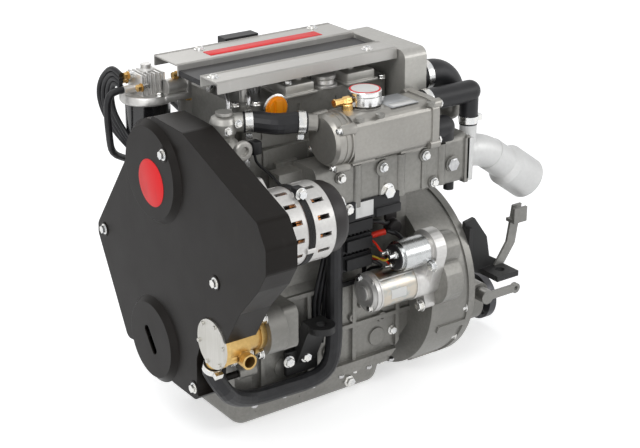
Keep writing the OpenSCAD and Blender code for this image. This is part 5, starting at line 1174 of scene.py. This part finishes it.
@dataclass
class PlugTrim(Trim):
    """Latches and ribs on the wiring connectors and the wires into them."""

    plugs: int = 3
    low_z: float = 92.0
    pitch: float = 33.0
    teeth: int = 7
    tooth_x: float = 289.0
    tooth_pitch: float = 8.2
    tooth_w: float = 4.4
    edge_r: float = 0.8

    def build(self) -> None:
        """Makes the pieces on the connectors."""
        latches = Shape()
        for k in range(self.plugs):
            z = self.low_z + self.pitch * k
            for n in range(self.teeth):
                x = self.tooth_x + self.tooth_pitch * n
                latches.block((x, -127.5, z + 24), (x + self.tooth_w, -104, z + 31.5), self.edge_r)
            for rise in (6, 17):
                latches.block((292, -138, z + rise), (342, -133, z + rise + 4), self.edge_r)
        self.keep(latches, "connector_latches", "connector_black")
        loom = Shape()
        for k, dy in enumerate((0.0, 8.0, 15.0)):
            loom.tube([(287, -112 - dy / 3, 106 + 33 * k), (276, -114, 104 + 30 * k),
                       (268 - dy / 2, -112, 70 + 20 * k), (264 - dy, -110 + dy / 3, 20 + 10 * k),
                       (262 - dy, -106, -40 + 14 * k)], 4.2)
        self.keep(loom, "wiring_loom", "hose_rubber")


@dataclass
class FilterTrim(Trim):
    """Canister, finned head, brass unions and hoses of the fuel filter."""

    place: Pair = (76.0, 132.0)
    top: float = 368.5
    fins: int = 6
    fin_pitch: float = 8.0
    # Back and across from the filter's middle, and up from the unions' height.
    unions: Places = ((-40.0, 4.0, 4.0), (-34.0, 22.0, -8.0), (-30.0, -22.0, -12.0), (30.0, -34.0, 2.0))
    unions_rise: float = 40.0
    hoses: int = 4
    hose_r: float = 4.4
    outer: Places = ((34, 140, 414), (32, 166, 419), (31, 194, 403), (30, 212, 379), (30, 214, 355),
                     (30, 198, 332), (32, 168, 309), (40, 136, 288), (54, 124, 264), (70, 130, 272))
    inner: Places = ((34, 142, 394), (32, 156, 396), (32, 168, 388), (32, 174, 366), (32, 168, 346),
                     (33, 154, 330), (36, 134, 312), (44, 118, 290), (58, 118, 268), (74, 122, 272))

    def build(self) -> None:
        """Makes the canister, the head, the fittings and the hoses."""
        x, y = self.place
        profile = [(0, -100), (32, -100), (38, -94), (38, -3), (36, 0), (0, 0)]
        body = self.turned("filter_body", "filter_black", profile, (x, y, self.top), Facing.UP, 64)
        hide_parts("fuel_filter")
        self._head()
        self._fittings()
        loops = Shape()
        for k in range(self.hoses):
            share = k / (self.hoses - 1)
            points = [tuple(a + share * (b - a) for a, b in zip(far, near))
                      for far, near in zip(self.outer, self.inner)]
            loops.tube(points, self.hose_r, 16)
        self.keep(loops, "filter_hoses", "hose_rubber")

    def _head(self) -> None:
        """Makes the head with its bracket, fins and ports."""
        (x, y), top = self.place, self.top
        head = Shape()
        head.block((x, y - 32, top), (x + 69, y - 14, top + 12), 2.0)
        head.block((x + 43, y - 32, top - 86), (x + 69, y - 26, top + 6), 1.0)
        head.lathe([(0, -1), (44.6, -1), (46, 1), (46, 8), (43, 13), (0, 13)], (x, y, top), Facing.UP, 64)
        head.block((x + 10, y - 46, top + 1), (x + 74, y - 18, top + 12), 2.0)
        for k in range(self.fins):
            fin_x = x - 22 + self.fin_pitch * k
            head.block((fin_x, y - 24, top + 12), (fin_x + 4, y + 24, top + 48), 1.0)
        head.block((x - 20, y - 20, top + 12), (x + 22, y + 20, top + 44), 2.0)
        head.lathe([(0, 0), (12, 0), (12, 6), (9, 9), (9, 16), (0, 16)], (x, y, top + 44), Facing.UP, 24)
        profile = [(0, 0), (13, 0), (13, 34), (11, 38), (0, 38)]
        head.lathe(profile, (x + 18, y - 30, top + 24), Facing.BACK, 32)
        head.block((x + 52, y - 44, top + 8), (x + 76, y - 18, top + 40), 3.0)
        head.rod(7, (0, 26), (x - 18, y, top + 22), Facing.FRONT, 24)
        head.rod(7, (0, 26), (x, y + 18, top + 22), Facing.FAR, 24)
        self.keep(head, "filter_head", "cast_aluminium")

    def _fittings(self) -> None:
        """Makes the unions, their nuts and the head's bolts."""
        (x, y), top = self.place, self.top
        brass, nuts = Shape(), Shape()
        for dx, dy, dz in self.unions:
            place = (x + dx, y + dy, top + self.unions_rise + dz)
            brass.rod(6.2, (0, 7), place, Facing.BACK, 6)
            brass.lathe([(4, 7), (7.2, 7), (7.2, 9), (4, 9)], place, Facing.BACK, 24)
            nuts.rod(5.4, (9, 20), place, Facing.BACK, 24)
        brass.rod(7, (0, 8), (x + 60, y - 34, top + 4), Facing.DOWN, 6)
        self.keep(brass, "filter_unions", "fitting_brass")
        self.keep(nuts, "filter_bolts", "zinc_steel")
        heads = [(x + 4, y - 36, top + 13), (x - 30, y + 26, top + 13), (x + 28, y + 28, top + 13)]
        self.bolts(heads, Facing.UP, "filter_head_bolts", 3.6)


@dataclass
class PumpTrim(Trim):
    """Ears of the sea water pump and the bolts of its flange."""

    axis: Pair = (-183.0, 65.0)
    ear_angles: tuple[float, ...] = (35.0, 145.0, 215.0, 325.0)
    bolt_half: float = 34.0

    def build(self) -> None:
        """Makes the pieces on the pump."""
        y, z = self.axis
        ears = Shape()
        for place in round_places(2.0, self.axis, 35, self.ear_angles):
            ears.lathe([(0, 0), (7, 0), (7.5, 20), (0, 20)], place, Facing.BACK, 24)
        self.keep(ears, "pump_ears", "pump_brass")
        heads = [(70.0, y, z + self.bolt_half), (70.0, y, z - self.bolt_half)]
        self.bolts(heads, Facing.FRONT, "pump_flange_bolts", 4.0)


@dataclass
class BlockTrim(Trim):
    """Bosses, bolts and plugs of the block, pan, bell housing and timing case."""

    pan_xs: tuple[float, ...] = (120.0, 180.0, 240.0, 300.0, 360.0, 410.0)
    # Back, up and radius.
    bosses: Places = ((296.0, -24.0, 9.0), (330.0, -14.0, 7.0), (352.0, 6.0, 8.0), (394.0, -30.0, 9.0),
                      (250.0, -30.0, 9.0))
    block_at: Places = ((370.0, -100.0, 12.0), (420.0, -100.0, -64.0), (214.0, -100.0, -64.0))
    bell_angles: tuple[float, ...] = (-60.0, -35.0, -10.0, 190.0, 215.0, 240.0, 265.0)
    foot_at: Places = ((187.0, -116.5, -51.0), (222.0, -116.5, -51.0), (187.0, -116.5, 12.0))
    case_at: Places = ((82.0, -196.0, 30.0), (82.0, -206.0, 96.0), (82.0, -150.0, 18.0),
                       (82.0, -112.0, -20.0))

    def build(self) -> None:
        """Makes the pieces on the castings."""
        pan = Shape()
        profile = [(0, 0), (6.2, 0), (6.2, 4.4), (5.2, 5.4), (0, 5.4)]
        for x in self.pan_xs:
            pan.lathe(profile, (x, -111.0, -113.0), Facing.DOWN, 6)
        self.keep(pan, "pan_bolts", "machined_steel")
        profile = [(0, 0), (11, 0), (11, 2), (8.5, 2.2), (8.5, 9), (0, 10)]
        self.turned("drain_plug", "zinc_steel", profile, (330, -94, -142), Facing.NEAR, 6)
        bosses = Shape()
        for x, z, r in self.bosses:
            bosses.lathe([(0, 0), (r + 1.5, 0), (r, 6), (r * 0.5, 6), (r * 0.45, 2), (0, 2)], (x, -99.5, z),
                         Facing.NEAR, 28)
        self.keep(bosses, "block_bosses", "engine_paint")
        self.bolts(self.block_at, Facing.NEAR, "block_bolts", 4.4)
        self.bolts(round_places(536.0, (0.0, 0.0), 162, self.bell_angles), Facing.FRONT, "bell_bolts", 4.6)
        self.bolts(self.foot_at, Facing.NEAR, "foot_bolts", 5.0)
        self.bolts(self.case_at, Facing.FRONT, "timing_case_bolts", 4.6)


TRIMS: tuple[type[Trim], ...] = (
    BeltCoverTrim, RailTrim, RockerTrim, ExchangerTrim, CapTrim, ManifoldTrim, ThermostatTrim, AlternatorTrim,
    StarterTrim, PlugTrim, FilterTrim, PumpTrim, BlockTrim,
)


# Studio


@dataclass(frozen=True)
class Lamp:
    """A soft square lamp that faces the engine."""

    name: str
    place: Place
    size: float
    power: float
    target: Place = (0.0, 0.0, 0.1)

    def hang(self) -> None:
        """Adds the lamp to the scene."""
        data = bpy.data.lights.new(self.name, "AREA")
        data.size = self.size
        data.energy = self.power
        lamp = bpy.data.objects.new(self.name, data)
        lamp.location = self.place
        lamp.rotation_euler = (Vector(self.target) - Vector(self.place)).to_track_quat("-Z", "Y").to_euler()
        bpy.context.scene.collection.objects.link(lamp)


@dataclass
class Studio:
    """Floor, soft lamps and the camera at the photograph's angle."""

    azimuth: float = -35.4
    elevation: float = 22.4
    lens: float = 84.6
    sensor: float = 36.0
    clip: Pair = (0.05, 60.0)
    # In millimetres, like a place on the engine.
    camera_at: Place = (-1074.9, -1983.1, 1127.9)
    floor_half: float = 7.0
    floor_colour: Colour = (0.9, 0.9, 0.9)
    floor_shade: float = 0.97
    floor_scale: float = 3.0
    floor_roughness: float = 0.85
    floor_glow: float = 0.55
    sky: Colour = (0.95, 0.97, 1.0)
    sky_strength: float = 0.38
    lamps: tuple[Lamp, ...] = (
        Lamp("key_lamp", (-2.2, -1.6, 3.0), 1.8, 54.0),
        Lamp("side_lamp", (2.6, -2.4, 1.6), 1.6, 30.0),
        Lamp("front_lamp", (-3.0, -2.6, 0.7), 1.4, 13.0),
        Lamp("back_lamp", (0.6, 3.0, 2.6), 1.6, 22.0),
    )

    def build(self) -> None:
        """Makes the floor, world, lamps and camera."""
        self._floor()
        self._world()
        for lamp in self.lamps:
            lamp.hang()
        self._camera()
        bpy.context.scene.view_settings.view_transform = "Standard"

    def _floor(self) -> None:
        """Lays a plain pale floor under the lowest point of the engine."""
        shape = Shape()
        half, low = self.floor_half, CAD_BOX[0][2]
        shape.mesh.faces.new([shape.mesh.verts.new((x, y, low)) for x, y in
                              ((-half, -half), (half, -half), (half, half), (-half, half))])
        floor = shape.finish("studio_floor")
        sheet = Sheet("floor_paper")
        shade = tuple(self.floor_shade * c for c in self.floor_colour)
        sheet.link("Base Color", sheet.blend(sheet.noise(self.floor_scale), self.floor_colour, shade))
        sheet.fix(Roughness=self.floor_roughness)
        lit = Socket(sheet, sheet.shader.outputs[0])
        glow = sheet.add("ShaderNodeEmission", None, {"Color": WHITE, "Strength": self.floor_glow})
        bright = sheet.add("ShaderNodeAddShader", None, {0: lit, 1: glow})
        sheet.show(sheet.tree.nodes["Material Output"], lit, bright)
        floor.data.materials.append(sheet.material)

    def _world(self) -> None:
        """Sets an even pale world."""
        world = bpy.context.scene.world or bpy.data.worlds.new("studio")
        bpy.context.scene.world = world
        world.use_nodes = True
        graph = Graph(world.node_tree)
        graph.tree.nodes.clear()
        sky = {"Color": (*self.sky, 1.0), "Strength": self.sky_strength}
        plain = graph.add("ShaderNodeBackground", None, sky)
        white = graph.add("ShaderNodeBackground", None, {"Color": WHITE, "Strength": 1.0})
        graph.show(graph.tree.nodes.new("ShaderNodeOutputWorld"), plain, white)

    def _camera(self) -> None:
        """Places the camera."""
        turn, rise = math.radians(self.azimuth), math.radians(self.elevation)
        back = Vector((math.sin(turn) * math.cos(rise), -math.cos(turn) * math.cos(rise), math.sin(rise)))
        data = bpy.data.cameras.new("photo_camera")
        data.lens = self.lens
        data.sensor_width = self.sensor
        data.clip_start, data.clip_end = self.clip
        camera = bpy.data.objects.new("photo_camera", data)
        camera.location = spot(*self.camera_at)
        camera.rotation_euler = back.to_track_quat("Z", "Y").to_euler()
        bpy.context.scene.collection.objects.link(camera)
        bpy.context.scene.camera = camera


def main() -> None:
    """Builds the dressed engine piece by piece."""
    logging.basicConfig(level=logging.INFO, format="%(name)s: %(message)s")
    palette = Palette()
    NodeFinishes(palette).dress()
    for trim in TRIMS:
        trim(palette).build()
    Studio().build()


if __name__ == "__main__":
    main()
